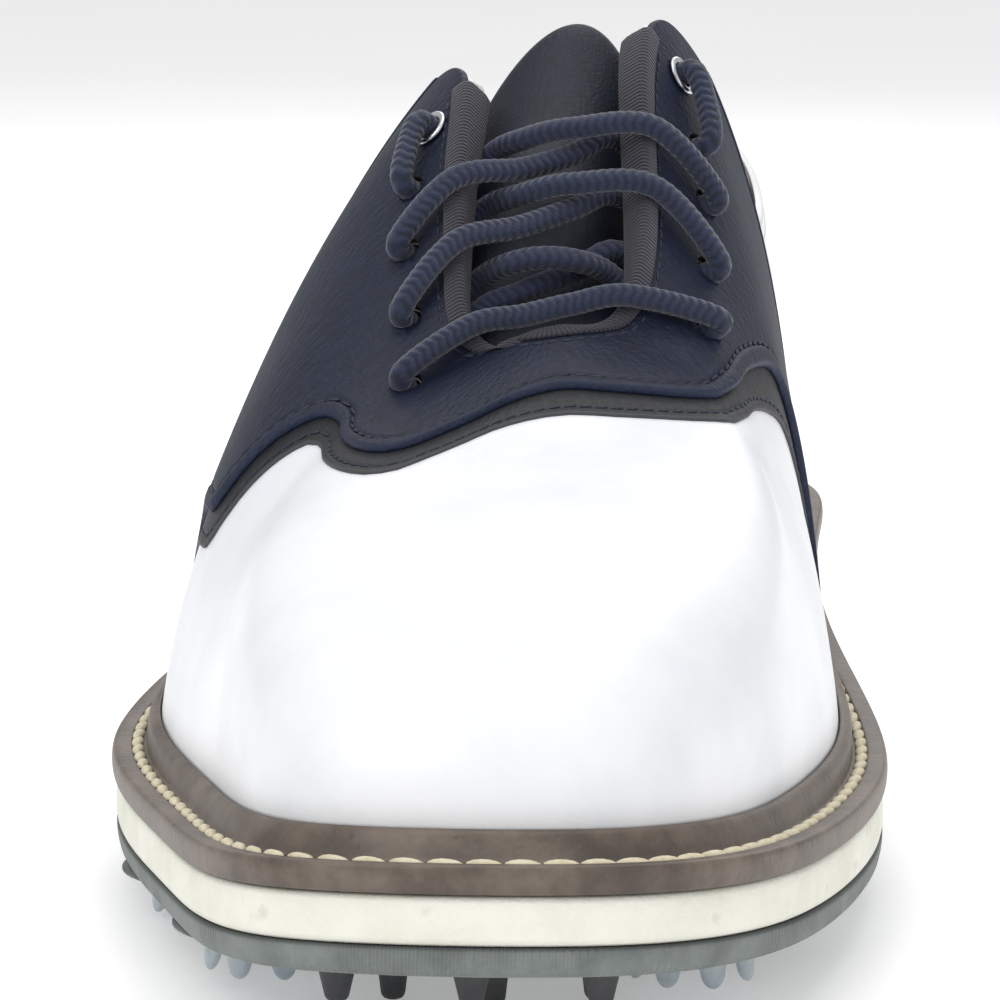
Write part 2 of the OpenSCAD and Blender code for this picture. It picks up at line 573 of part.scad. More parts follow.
// Rows from i0 and columns from j0 of the tongue's grid, moved inwards by w
function tongue_grid(w, i0, j0) = [for (i = [i0:tongue_n], j = [j0:tongue_m - j0])
    tongue_skin(0.1 + 5.85 * i / tongue_n, 0.01 + 0.98 * j / tongue_m, w)];
module tongue_layer(w, t, i0, j0) {
    between(tongue_grid(w + t, i0, j0), tongue_grid(w, i0, j0), tongue_n - i0 + 1,
        tongue_m - 2 * j0 + 1);
}
module tongue() { color(NAVY) tongue_layer(0, tongue_cover_t, 0, 0); }
module tongue_padding() {
    color("lightgrey") tongue_layer(tongue_cover_t + gap, tongue_pad_t, 1, 1);
}
module tongue_lining() {
    color("gainsboro") tongue_layer(tongue_cover_t + tongue_pad_t + 2 * gap, tongue_back_t, 0, 0);
}

// ---------- eyelets and badge ----------
eyelet_bore = 4;
module top_eyelets() {
    top_w = saddle_w + saddle_t;
    color(SILVER) for (h = [HOLES_LATERAL[4], HOLES_MEDIAL[4]]) aim(h, 0) difference() {
        union() {
            translate([0, 0, -0.1]) cylinder(d = hole_d, h = top_w + 0.5);
            translate([0, 0, top_w + 0.25]) cylinder(d = eyelet_d, h = 0.6);
        }
        translate([0, 0, -2]) cylinder(d = eyelet_bore, h = 12);
    }
}
BADGE = [7.15, .74];
module side_badge() {
    color(SILVER) aim(BADGE, leather_w + leather_t + 0.45) {
        difference() {
            translate([-7, -3.5, 0]) cube([14, 7, 0.9]);
            translate([-5.4, -2, 0.5]) cube([10.8, 4, 1]);
        }
        translate([-1, -2, 0.5]) cube([2, 4, 0.4]);
    }
}

// ---------- lace ----------
// Heights of the lace's middle line above the inner face
over_w = 7.9;
under_w = -2.6;
within_w = 2.6;
function through(h) = [skin(h[0], h[1], under_w), skin(h[0], h[1], within_w),
    skin(h[0], h[1], over_w)];
function reversed(a) = [for (i = [len(a) - 1:-1:0]) a[i]];
// Point over the gap, at share f from one edge station to another, raised by w
function across(ka, kb, f, w) = wall(ka, 1) * (1 - f) + wall(kb, 1) * f + w * [0, -0.69, 0.72];
function pass(ka, wa, mid, kb, wb) = [skin(ka, 1, wa), across(ka, kb, .33, mid[0]),
    across(ka, kb, .67, mid[1]), skin(kb, 1, wb)];
LACE_ROUTE = concat(
    through(HOLES_LATERAL[4]),
    [skin(8.85, .91, 8.6)],
    reversed(through(HOLES_LATERAL[3])),
    pass(8.99, under_w, [2.2, 4.7], 22.9, over_w),
    reversed(through(HOLES_MEDIAL[2])),
    pass(22.56, under_w, [1.3, 3.8], 10.37, over_w),
    reversed(through(HOLES_LATERAL[1])),
    pass(10.43, under_w, [3.3, 3.3], 21.46, under_w),
    through(HOLES_MEDIAL[0]),
    pass(20.4, over_w, [6, 6], 12.15, over_w),
    reversed(through(HOLES_LATERAL[0])),
    pass(10.96, under_w, [-1.4, -1.6], 21.91, under_w),
    through(HOLES_MEDIAL[1]),
    pass(22.31, over_w, [5.8, 2.6], 9.56, under_w),
    through(HOLES_LATERAL[2]),
    pass(9.6, over_w, [2.9, .2], 23.04, under_w),
    through(HOLES_MEDIAL[3]),
    [skin(23.7, .84, 8.6)],
    reversed(through(HOLES_MEDIAL[4])));

// ---------- cords ----------
// Direction v carried from tangent a to tangent b without twist
function turned(v, a, b) = let (c = cross(a, b), s = norm(c), d = a * b)
    s < 0.0001 ? v : let (k = c / s) v * d + cross(k, v) * s + k * (k * v) * (1 - d);
function tangent(p, i) = let (n = len(p) - 1,
        a = i == 0 ? p[1] - p[0] : p[i] - p[i - 1],
        b = i == n ? p[n] - p[n - 1] : p[i + 1] - p[i])
    unit(unit(a) + unit(b));
function sideways(p, i, last) = i == len(p) ? [] :
    let (t = tangent(p, i), v = i == 0 ? unit(cross(t, [0.3, 0.2, 1]))
        : turned(last, tangent(p, i - 1), t))
    concat([v], sideways(p, i + 1, v));
// Tube of radius r along the points p, with n sides
module tube(p, r, n) {
    side = sideways(p, 0, [0, 0, 0]);
    rings = [for (i = [0:len(p) - 1]) let (t = tangent(p, i), b = cross(t, side[i]))
        for (a = [0:n - 1]) p[i] + r * (cos(360 * a / n) * side[i] + sin(360 * a / n) * b)];
    last = (len(p) - 1) * n;
    polyhedron(points = [for (q = rings) lift(q)],
        faces = concat([for (i = [0:len(p) - 2], j = [0:n - 1])
            let (a = i * n + j, b = i * n + (j + 1) % n)
            each [[a, b + n, b], [a, a + n, b + n]]],
            [for (j = [1:n - 2]) [0, j, j + 1]],
            [for (j = [1:n - 2]) [last, last + j + 1, last + j]]));
}
module lace() { color(LACE) tube(LACE_ROUTE, lace_d / 2, 7); }

// Free ends: down inside the shoe beside the tongue, then along the footbed
END_LATERAL = [[-16, 156.5, 100.5], [-20.5, 160.5, 95], [-23.5, 164, 87.5],
    [-25, 167, 79], [-25.5, 170, 70], [-25.5, 173, 61], [-24, 177, 52],
    [-21, 182, 43.5], [-17, 189, 38], [-13, 198, 38.5], [-9, 208, 39.5],
    [-8, 219, 40.5], [-10, 230, 41.5], [-13, 240, 42]];
END_MEDIAL = [[21.6, 163.5, 108], [24.6, 169, 99], [27, 173.5, 88.5],
    [28.5, 176, 79.5], [29, 178.5, 70.5], [29, 181, 61.5], [28, 184, 52.5],
    [26, 188, 44], [22.5, 194.5, 38.5], [19, 203, 39], [17, 213, 40],
    [18, 224, 41], [21, 234, 41.8], [23, 243, 42.2]];
// The stretch from the eyelet to the free end belongs to the free end
function free_end(hole, list) = concat([skin(hole[0], hole[1], under_w)], list);
aglet_d = 3.4;
aglet_h = 20;
module aglet(list) {
    n = len(list) - 1;
    v = unit(list[n] - list[n - 1]);
    translate(lift(list[n] + 0.05 * v)) rotate([0, acos(v[2]), atan2(v[1], v[0])])
        cylinder(d = aglet_d, h = aglet_h);
}
module lace_end_lateral() {
    color(LACE) tube(free_end(HOLES_LATERAL[4], END_LATERAL), lace_d / 2, 7);
}
module lace_end_medial() {
    color(LACE) tube(free_end(HOLES_MEDIAL[4], END_MEDIAL), lace_d / 2, 7);
}
module aglet_lateral() { color(SILVER) aglet(END_LATERAL); }
module aglet_medial() { color(SILVER) aglet(END_MEDIAL); }

outsole();
toe_studs();
forefoot_studs();
heel_studs();
cleat_1();
cleat_2();
cleat_3();
cleat_4();
cleat_5();
cleat_6();
cleat_7();
cleat_8();
cleat_9();
cleat_sockets();
midsole();
cork_filler();
shank();
insole_board();
footbed();
welt();
welt_stitching();
vamp();
vamp_lining();
toe_puff();
heel_counter();
lateral_quarter();
medial_quarter();
lateral_lining();
medial_lining();
lateral_stay();
medial_stay();
collar_padding();
collar_lining();
saddle_underlay();
saddle();
back_strip();
facing_binding();
tongue();
tongue_padding();
tongue_lining();
top_eyelets();
side_badge();
lace();
lace_end_lateral();
lace_end_medial();
aglet_lateral();
aglet_medial();
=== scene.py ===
"""Spiked golf shoe for the right foot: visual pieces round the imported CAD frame.

Lengths inside the shape functions are millimetres: x across, u from the toe
backwards, z up. place() moves them to the frame's origin and makes them metres.
"""
import bmesh
import bpy
import numpy as np
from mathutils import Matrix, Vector


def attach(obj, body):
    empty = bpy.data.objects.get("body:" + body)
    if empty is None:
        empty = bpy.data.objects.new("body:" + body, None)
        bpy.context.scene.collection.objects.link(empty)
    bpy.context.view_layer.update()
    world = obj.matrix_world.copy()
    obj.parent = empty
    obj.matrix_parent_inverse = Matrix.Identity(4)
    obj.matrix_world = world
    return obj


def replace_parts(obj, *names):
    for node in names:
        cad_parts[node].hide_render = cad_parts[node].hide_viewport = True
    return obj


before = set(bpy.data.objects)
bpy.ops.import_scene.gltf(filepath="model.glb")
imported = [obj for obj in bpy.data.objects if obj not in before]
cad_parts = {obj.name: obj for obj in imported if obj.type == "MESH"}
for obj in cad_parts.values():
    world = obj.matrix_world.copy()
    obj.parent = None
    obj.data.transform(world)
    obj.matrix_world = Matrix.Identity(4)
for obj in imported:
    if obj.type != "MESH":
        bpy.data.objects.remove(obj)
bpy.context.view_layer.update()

# ---------- camera ----------
camera_data = bpy.data.cameras.new("camera")
camera_data.lens = 165.5
camera_data.sensor_width = 36
camera = bpy.data.objects.new("camera", camera_data)
bpy.context.scene.collection.objects.link(camera)
camera.location = (0.0514, -0.7162, 0.1778)
look = Vector((0.0041, -0.0877, 0.0667)) - camera.location
camera.rotation_euler = look.to_track_quat("-Z", "Y").to_euler()
bpy.context.scene.camera = camera

# ---------- the upper's surface, as in the part's source ----------
# 32 stations, 0 at the back of the heel, then the outer side, 16 the toe:
# OUTLINE [x, u], CREST [x, u, height of the top edge], and WALL [inset of the foot,
# lean at the foot, slope at the top, pull at the foot, pull at the top]
OUTLINE = np.array([[8, 300.5], [-11, 295.5], [-25, 281], [-30.5, 262],
    [-32, 240], [-36, 216], [-43, 192], [-50.5, 168],
    [-56.5, 144], [-59, 120], [-56.8, 98], [-51, 76.5],
    [-44.5, 57], [-38.5, 38], [-32, 20.5], [-20.5, 5],
    [2, 0], [24, 5], [37.5, 19], [45.5, 36],
    [50.8, 55], [54.8, 75], [57.4, 97], [57, 120],
    [54, 144], [50, 168], [47, 192], [46, 216],
    [46.5, 240], [46.5, 262], [41, 281], [27, 295.5]])
CREST = np.array([[7.5, 294, 98], [-5, 291, 97], [-15, 281, 94.5], [-21.5, 263, 88.5],
    [-26, 243, 84], [-28.5, 221, 84.5], [-29, 200, 88.5], [-23, 179, 100],
    [-6.3, 160.5, 118], [-6.4, 145, 107], [-6.3, 132, 94.5], [-6, 122.5, 85],
    [-4.3, 117.6, 80.2], [-1.3, 115.9, 78.4], [1.8, 116, 78.4], [4.6, 116.5, 78.7],
    [7, 117.1, 79.2], [9.3, 117.8, 79.7], [11.6, 118.5, 80.3], [13.9, 119.5, 81.2],
    [16.1, 121.3, 83], [17.7, 125, 87], [17.5, 133, 95.5], [16.5, 146, 108.5],
    [16, 163.5, 127], [27, 182, 109], [30.5, 200, 95], [32.5, 220, 88],
    [33, 241, 87], [32, 262, 90], [28, 281, 95], [20, 291, 97.5]])
WALL = np.array([[9, 12, 84, 0.36, 0.36], [9, 12, 84, 0.36, 0.36], [9, 10, 84, 0.36, 0.34],
    [8.5, 4, 84, 0.36, 0.32], [8.5, 0, 84, 0.36, 0.32], [8.5, -2, 82, 0.38, 0.32],
    [8.5, -3, 76, 0.37, 0.31], [8.5, -5, 64, 0.38, 0.31], [9, -6, 45, 0.35, 0.32],
    [9.5, -6, 39, 0.32, 0.31], [10, -4, 31, 0.32, 0.37], [10.5, -1, 30, 0.32, 0.38],
    [11, 2, 28, 0.3, 0.42], [11, 5, 26, 0.3, 0.45], [11.5, 7, 26, 0.3, 0.47],
    [12, 8, 26, 0.3, 0.48], [12, 8, 26, 0.3, 0.48], [12, 8, 26, 0.3, 0.48],
    [11.5, 7, 26, 0.3, 0.47], [11, 6, 28, 0.3, 0.44], [11, 4, 32, 0.31, 0.38],
    [10.5, 1, 38, 0.33, 0.32], [10, -2, 47, 0.31, 0.26], [9.5, -4, 54, 0.33, 0.24],
    [9, -5, 58, 0.33, 0.23], [8.5, -4, 70, 0.38, 0.27], [8.5, -3, 78, 0.38, 0.3],
    [8.5, -2, 82, 0.38, 0.32], [8.5, 0, 84, 0.36, 0.32], [8.5, 4, 84, 0.36, 0.32],
    [9, 10, 84, 0.36, 0.34], [9, 12, 84, 0.36, 0.36]])
# The saddle's lower edge: [station, height share, station at the top edge]
SADDLE_EDGE = np.array([[7.25, 0.055, 7.75], [8, 0.055, 8], [8.5, 0.25, 8.25], [9.25, 0.35, 8.75],
    [10, 0.4, 9.5], [10.5, 0.55, 10], [11.25, 0.7, 10.75], [12.5, 0.75, 12], [14.5, 0.75, 14.25],
    [15, 0.8, 15], [15.5, 0.875, 15.5], [16.5, 0.9, 16.5], [18, 0.85, 18], [20, 0.775, 19.75],
    [22, 0.65, 21.5], [23.5, 0.45, 23], [24.25, 0.2, 23.75], [24.5, 0.055, 24.25],
    [25.75, 0.055, 24.75]])
# Rows up the wall: [station, height share] at the lower end and at the upper end
VAMP_ROWS = np.array([[7.85, 0.012, 7.87, 0.06], [8.2, 0.012, 8.23, 0.22], [8.85, 0.012, 8.88, 0.38],
    [9.9, 0.012, 9.9, 0.6], [10.6, 0.012, 10.6, 0.74], [11.5, 0.012, 11.5, 0.78],
    [12.5, 0.012, 12.5, 0.795], [13.5, 0.012, 13.5, 0.84], [14.4, 0.012, 14.4, 0.87],
    [15, 0.012, 15, 0.93], [15.6, 0.012, 15.6, 0.965], [16.3, 0.012, 16.3, 0.97],
    [17, 0.012, 17, 0.965], [17.7, 0.012, 17.7, 0.95], [18.5, 0.012, 18.5, 0.93],
    [19.5, 0.012, 19.5, 0.9], [20.6, 0.012, 20.6, 0.83], [21.7, 0.012, 21.7, 0.74],
    [22.8, 0.012, 22.8, 0.62], [23.75, 0.012, 23.8, 0.47], [24.4, 0.012, 24.4, 0.32],
    [24.8, 0.012, 24.8, 0.17], [25.05, 0.012, 25.05, 0.06]])
LATERAL_FRONT = np.array([[7.72, 0.012, 7.6, 0.995], [7.8, 0.09, 7.95, 0.995],
    [8.1, 0.24, 8.35, 0.995], [8.75, 0.4, 8.8, 0.995], [9.3, 0.53, 9.3, 0.995], [9.85, 0.64, 9.85, 0.995],
    [10.5, 0.76, 10.5, 0.995], [11.45, 0.8, 11.4, 0.995], [12.45, 0.815, 12.4, 0.995],
    [13.4, 0.86, 13.3, 0.995]])
MEDIAL_FRONT = np.array([[25.15, 0.012, 24.8, 0.995], [25.1, 0.08, 24.5, 0.995],
    [24.85, 0.2, 24.15, 0.995], [24.45, 0.36, 23.75, 0.995], [23.85, 0.5, 23.2, 0.995],
    [22.85, 0.645, 22.6, 0.995], [21.8, 0.76, 21.7, 0.995], [20.7, 0.85, 20.7, 0.995],
    [19.6, 0.92, 19.6, 0.995]])
# Lace holes from the throat up: [station, height share]
HOLES_LATERAL = np.array([[12.59, 0.875], [10.8, 0.895], [9.89, 0.897], [9.18, 0.895], [8.7, 0.925]])
HOLES_MEDIAL = np.array([[21.49, 0.797], [22.51, 0.775], [23.2, 0.765], [23.54, 0.795], [23.81, 0.883]])
# Cleats and studs: [x, u]
CLEATS = np.array([[-28, 50], [31, 50], [-41, 88], [41, 90], [-36, 126],
    [-17, 232], [33, 232], [-12, 272], [28, 272]])
TOE_STUDS = np.array([[-15, 19], [3, 17.5], [20, 20]])
FOREFOOT_STUDS = np.array([[-10, 44], [4, 42], [18, 46], [-2, 68], [16, 70], [-20, 72],
    [0, 96], [20, 98], [-20, 98], [-8, 122], [14, 122], [34, 124]])
HEEL_STUDS = np.array([[8, 222], [8, 244], [-2, 256], [18, 256], [8, 268], [8, 290]])
# Rows of four control points of an arch, from under the vamp to the free top
TONGUE = np.array([[[-12, 94, 57], [0, 102, 67], [13, 102, 67], [23, 94, 57]],
    [[-17, 107, 61], [-5, 118, 73], [16, 118, 73.5], [25, 108, 61]],
    [[-18.5, 122, 71], [-7.5, 130.5, 86.5], [16, 130.5, 87.5], [23, 123, 70.5]],
    [[-17.5, 135.5, 80], [-7, 141, 99.5], [14.5, 142, 102.5], [20.5, 137, 81]],
    [[-15.5, 147, 88], [-6.5, 151.5, 109.5], [12.5, 152.5, 114.5], [18.5, 149, 91]],
    [[-14, 157, 92], [-6, 160, 115], [11, 162, 127], [18.5, 159, 103]],
    [[-13, 166, 98], [-6, 169, 122], [9, 170, 138], [18, 168, 117]]])
# The lace's free ends, from the eyelet down beside the tongue to the footbed
END_LATERAL = np.array([[-16, 156.5, 100.5], [-20.5, 160.5, 95], [-23.5, 164, 87.5],
    [-25, 167, 79], [-25.5, 170, 70], [-25.5, 173, 61], [-24, 177, 52],
    [-21, 182, 43.5], [-17, 189, 38], [-13, 198, 38.5], [-9, 208, 39.5],
    [-8, 219, 40.5], [-10, 230, 41.5], [-13, 240, 42]])
END_MEDIAL = np.array([[21.6, 163.5, 108], [24.6, 169, 99], [27, 173.5, 88.5],
    [28.5, 176, 79.5], [29, 178.5, 70.5], [29, 181, 61.5], [28, 184, 52.5],
    [26, 188, 44], [22.5, 194.5, 38.5], [19, 203, 39], [17, 213, 40],
    [18, 224, 41], [21, 234, 41.8], [23, 243, 42.2]])


def smooth_controls(table):
    """Control points (8P - P_before - P_after) / 6 of a closed curve that passes by the points."""
    return (8 * table - np.roll(table, 1, 0) - np.roll(table, -1, 0)) / 6


OUTLINE_C, CREST_C, WALL_C = (smooth_controls(t.astype(float)) for t in (OUTLINE, CREST, WALL))
GROUND_GAP, TOE_SPRING, OUTSOLE_T, MIDSOLE_T, HEEL_RISE, WELT_T = 6.5, 9, 4.2, 6.8, 12, 4
LEATHER_W, UNDERLAY_W, SADDLE_W = 2, 3.32, 3.8
LINING_T, LEATHER_T, UNDERLAY_T, SADDLE_T, STRIP_T = 0.9, 1.3, 0.45, 1.1, 1.2
SADDLE_TOP = SADDLE_W + SADDLE_T
FOOT_T = 0.012
OVER_W, UNDER_W, WITHIN_W = 7.2, -2.6, 2.6
LACE_D = 3.6
SHIFT = [0.7, -150.2, 0]
MM = 0.001
TOP_SHARE = 0.995
HOLE_D = 4.6
STITCH_IN = 2.9
LACE_STEP = 0.45


def curve(c, k):
    """Uniform cubic B-spline: the four nearest control points, weighted by the cubic basis."""
    n, i = len(c), np.floor(k).astype(int)
    f = (k - i)[..., None]
    return (c[(i - 1) % n] * (1 - f) ** 3 + c[i % n] * (3 * f ** 3 - 6 * f * f + 4)
            + c[(i + 1) % n] * (-3 * f ** 3 + 3 * f * f + 3 * f + 1)
            + c[(i + 2) % n] * f ** 3) / 6


def unit(v):
    """Vectors divided by their lengths."""
    return v / np.maximum(np.linalg.norm(v, axis=-1, keepdims=True), 1e-9)


def ease(x):
    """Smooth step 3c^2 - 2c^3 of x held between 0 and 1."""
    c = np.clip(x, 0, 1)
    return c * c * (3 - 2 * c)


def underside(u):
    """Ground gap, plus a squared rise towards the toe and a small one at the heel's back."""
    return (GROUND_GAP + TOE_SPRING * np.clip((105 - u) / 105, 0, 1) ** 2
            + 3 * np.clip((u - 262) / 38, 0, 1) ** 2)


def outsole_top(u):
    """The underside without the heel's rise, one outsole thickness up."""
    return underside(u) - 3 * np.clip((u - 262) / 38, 0, 1) ** 2 + OUTSOLE_T


def midsole_top(u):
    """The outsole's top plus the midsole, which thickens smoothly to the heel."""
    return outsole_top(u) + MIDSOLE_T + HEEL_RISE * ease((u - 110) / 140)


def welt_top(u):
    """One welt thickness above the midsole."""
    return midsole_top(u) + WELT_T


def outward(k):
    """The outline's tangent in plan, turned a quarter outwards."""
    d = curve(OUTLINE_C, k + 0.05) - curve(OUTLINE_C, k - 0.05)
    return unit(np.stack([d[..., 1], -d[..., 0]], -1))


def ring(k, inset, height):
    """Outline at station k moved inwards by inset, at height(u)."""
    p = curve(OUTLINE_C, k) - np.asarray(inset)[..., None] * outward(k)
    return np.concatenate([p, np.asarray(height(p[..., 1]))[..., None]], -1)


def wall(k, t):
    """Cubic Bezier from the wall's foot to its top edge; its two handles are the
    height share times the station's pulls, along the station's two slopes."""
    k, t = np.broadcast_arrays(np.asarray(k, float), np.asarray(t, float))
    s, c = curve(WALL_C, k), curve(CREST_C, k)
    f = ring(k, s[..., 0], welt_top)
    h = np.linalg.norm(c - f, axis=-1)[..., None]
    low, high = np.radians(s[..., 1:2]), np.radians(s[..., 2:3])
    o = outward(k)
    a = f + h * s[..., 3:4] * np.concatenate([o * np.sin(low), np.cos(low)], -1)
    b = c + h * s[..., 4:5] * np.concatenate([o * np.cos(high), -np.sin(high)], -1)
    t = t[..., None]
    r = 1 - t
    return f * r ** 3 + 3 * a * t * r * r + 3 * b * t * t * r + c * t ** 3


def wall_normal(k, t):
    """Unit cross product of the wall's two directions, outwards."""
    return unit(np.cross(wall(k + 0.03, t) - wall(k - 0.03, t), wall(k, t + 0.01) - wall(k, t - 0.01)))


def skin(k, t, w):
    """The wall moved out along its normal by w."""
    k, t = np.broadcast_arrays(np.asarray(k, float), np.asarray(t, float))
    return wall(k, t) + np.asarray(w)[..., None] * wall_normal(k, t)


def along(points, at):
    """Catmull-Rom curve through the rows of points, read at fractional row numbers."""
    p = np.asarray(points, float)
    p = np.concatenate([2 * p[:1] - p[1:2], p, 2 * p[-1:] - p[-2:-1]])
    i = np.clip(np.floor(at).astype(int), 0, len(p) - 4)
    f = (at - i).reshape(np.shape(at) + (1,) * (p.ndim - 1))
    a, b, c, d = p[i], p[i + 1], p[i + 2], p[i + 3]
    return b + 0.5 * f * (c - a + f * (2 * a - 5 * b + 4 * c - d + f * (3 * (b - c) + d - a)))


SADDLE_FOOT, TOE_STATION, STRIP_K, STRIP_SHARE, TUCK_SHARE = 0.055, 16, 0.03, 0.045, 0.08


def saddle_rows():
    """Rows from the drawn lower edge, at every half place of its list, to the top edge."""
    q = along(SADDLE_EDGE, np.arange(0, len(SADDLE_EDGE) - 0.9, 0.5))
    return np.stack([q[:, 0], np.maximum(SADDLE_FOOT, q[:, 1]), q[:, 2], TOP_SHARE + 0 * q[:, 2]], -1)


def underlay_rows():
    """A strip's width from the saddle's front edge towards the toe, and back under the saddle."""
    q = along(SADDLE_EDGE, np.arange(1, len(SADDLE_EDGE) - 1.9, 0.5))
    d = STRIP_K * (TOE_STATION - q[:, 0])
    return np.stack([q[:, 0] + d, np.maximum(SADDLE_FOOT, q[:, 1] - STRIP_SHARE),
                     q[:, 0] - d, q[:, 1] + TUCK_SHARE], -1)


SADDLE_ROWS, UNDERLAY_ROWS = saddle_rows(), underlay_rows()


def run_length(p):
    """Running length along a row of points, from 0."""
    return np.concatenate([[0], np.cumsum(np.linalg.norm(np.diff(p, axis=0), axis=-1))])


def evenly(p, step):
    """A row of points spaced again at equal steps of its length."""
    s = run_length(p)
    at = np.linspace(0, s[-1], max(2, int(round(s[-1] / step)) + 1))
    return np.stack([np.interp(at, s, p[:, i]) for i in range(p.shape[1])], -1)


def place(p):
    """Shift to the frame's origin, and millimetres to metres."""
    return (np.asarray(p) + SHIFT) * MM


# ---------- meshes ----------
def grid_faces(n, m, closed_n=False, closed_m=False):
    """Quads of an n by m grid of points; their fronts face (row direction) x (column direction)."""
    i = np.arange(n if closed_n else n - 1)[:, None]
    j = np.arange(m if closed_m else m - 1)[None, :]
    i2, j2 = (i + 1) % n, (j + 1) % m
    return np.stack(np.broadcast_arrays(i * m + j, i2 * m + j, i2 * m + j2, i * m + j2), -1).reshape(-1, 4)


def make_piece(name, parts, body, marks=None, uv=None, weld=0):
    """One mesh object from a list of (points, faces); marks are numbers per point, uv a pair per point."""
    points = np.concatenate([np.asarray(p).reshape(-1, 3) for p, f in parts])
    sizes = np.cumsum([0] + [np.asarray(p).reshape(-1, 3).shape[0] for p, f in parts[:-1]])
    mesh = bpy.data.meshes.new(name)
    faces = [face for (p, f), base in zip(parts, sizes) for face in (np.asarray(f) + base).tolist()]
    mesh.from_pydata(place(points).tolist(), [], faces)
    for mark, values in (marks or {}).items():
        mesh.attributes.new(mark, "FLOAT", "POINT").data.foreach_set(
            "value", np.asarray(values, np.float32).ravel())
    if uv is not None:
        corners = np.zeros(len(mesh.loops), np.int32)
        mesh.loops.foreach_get("vertex_index", corners)
        mesh.uv_layers.new(name="UVMap").data.foreach_set(
            "uv", np.asarray(uv, np.float32).reshape(-1, 2)[corners].ravel())
    if weld:
        work = bmesh.new()
        work.from_mesh(mesh)
        bmesh.ops.remove_doubles(work, verts=work.verts, dist=weld * MM)
        bmesh.ops.dissolve_degenerate(work, edges=work.edges, dist=1e-7)
        work.to_mesh(mesh)
        work.free()
    mesh.validate()
    mesh.polygons.foreach_set("use_smooth", np.ones(len(mesh.polygons), bool))
    piece = bpy.data.objects.new(name, mesh)
    bpy.context.scene.collection.objects.link(piece)
    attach(piece, body)
    return piece


def shell(top, under):
    """Closed body between an upper and a lower grid of the same layout, joined round the rim."""
    n, m = top.shape[:2]
    rim = np.concatenate([np.arange(n) * m, (n - 1) * m + np.arange(1, m),
                          np.arange(n - 2, -1, -1) * m + m - 1, np.arange(m - 2, 0, -1)])
    after, faces = np.roll(rim, -1), grid_faces(n, m)
    sides = np.stack([rim, rim + n * m, after + n * m, after], -1)
    return (np.concatenate([top.reshape(-1, 3), under.reshape(-1, 3)]),
            np.concatenate([faces, faces[:, ::-1] + n * m, sides]))


def tube_parts(path, radius, sides, guide=(0.3, 0.2, 1)):
    """Circle of the given radius carried along a path without twist; radius may vary
    with (station, angle). The ends are closed by rings drawn to a point, and the uv is
    (millimetres along, 0 to 4 round), so its seam column is there twice until welded."""
    t = unit(np.gradient(path, axis=0))
    side = np.zeros_like(path)
    v = unit(np.cross(t[0], guide))
    for i in range(len(path)):
        v = unit(v - t[i] * (v @ t[i]))
        side[i] = v
    up = np.cross(t, side)
    angle = np.linspace(0, 2 * np.pi, sides + 1)
    r = np.broadcast_to(radius, (len(path), sides + 1))[..., None]
    round_it = np.cos(angle)[:, None] * side[:, None] + np.sin(angle)[:, None] * up[:, None]
    rings = path[:, None] + r * round_it
    rings = np.concatenate([np.repeat(path[:1, None], sides + 1, 1), rings,
                            np.repeat(path[-1:, None], sides + 1, 1)])
    n = len(rings)
    length = run_length(path)
    uv = np.stack(np.broadcast_arrays(np.concatenate([[0], length, length[-1:]])[:, None],
                                      angle[None] / (2 * np.pi) * 4), -1)
    return rings, grid_faces(n, sides + 1)[:, ::-1], uv


def lathe_part(profile, sides, centre, axis=(0, 0, 1)):
    """Profile of (radius, height) turned round an axis through centre; a radius of 0 closes a pole."""
    axis = unit(np.asarray(axis, float))
    x = unit(np.cross(axis, [0.31, 0.95, 0.12]))
    y = np.cross(axis, x)
    a = np.linspace(0, 2 * np.pi, sides, endpoint=False)
    p = np.asarray(profile, float)
    points = (centre + p[:, None, :1] * (np.cos(a)[:, None] * x + np.sin(a)[:, None] * y)
              + p[:, None, 1:] * axis)
    return points, grid_faces(len(p), sides, closed_m=True)[:, ::-1]


def beads(centres, lengthwise, normal, size, around=6, rings=6, lean=0.0):
    """Ellipsoids of half sizes (length, width, height) at many centres; lean turns
    each about its normal by that angle."""
    t = unit(lengthwise)
    n = unit(normal - t * (normal * t).sum(-1, keepdims=True))
    b = np.cross(n, t)
    t, b = t * np.cos(lean) + b * np.sin(lean), b * np.cos(lean) - t * np.sin(lean)
    p = np.linspace(0.001, np.pi - 0.001, rings)[:, None, None]
    q = np.linspace(0, 2 * np.pi, around, endpoint=False)[None, :, None]
    c = centres[:, None, None]
    points = (c + size[0] * np.cos(p) * t[:, None, None]
              + np.sin(p) * (size[1] * np.cos(q) * b[:, None, None] + size[2] * np.sin(q) * n[:, None, None]))
    one = grid_faces(rings, around, closed_m=True)
    faces = (one[None] + (np.arange(len(centres)) * rings * around)[:, None, None]).reshape(-1, 4)
    return points, faces


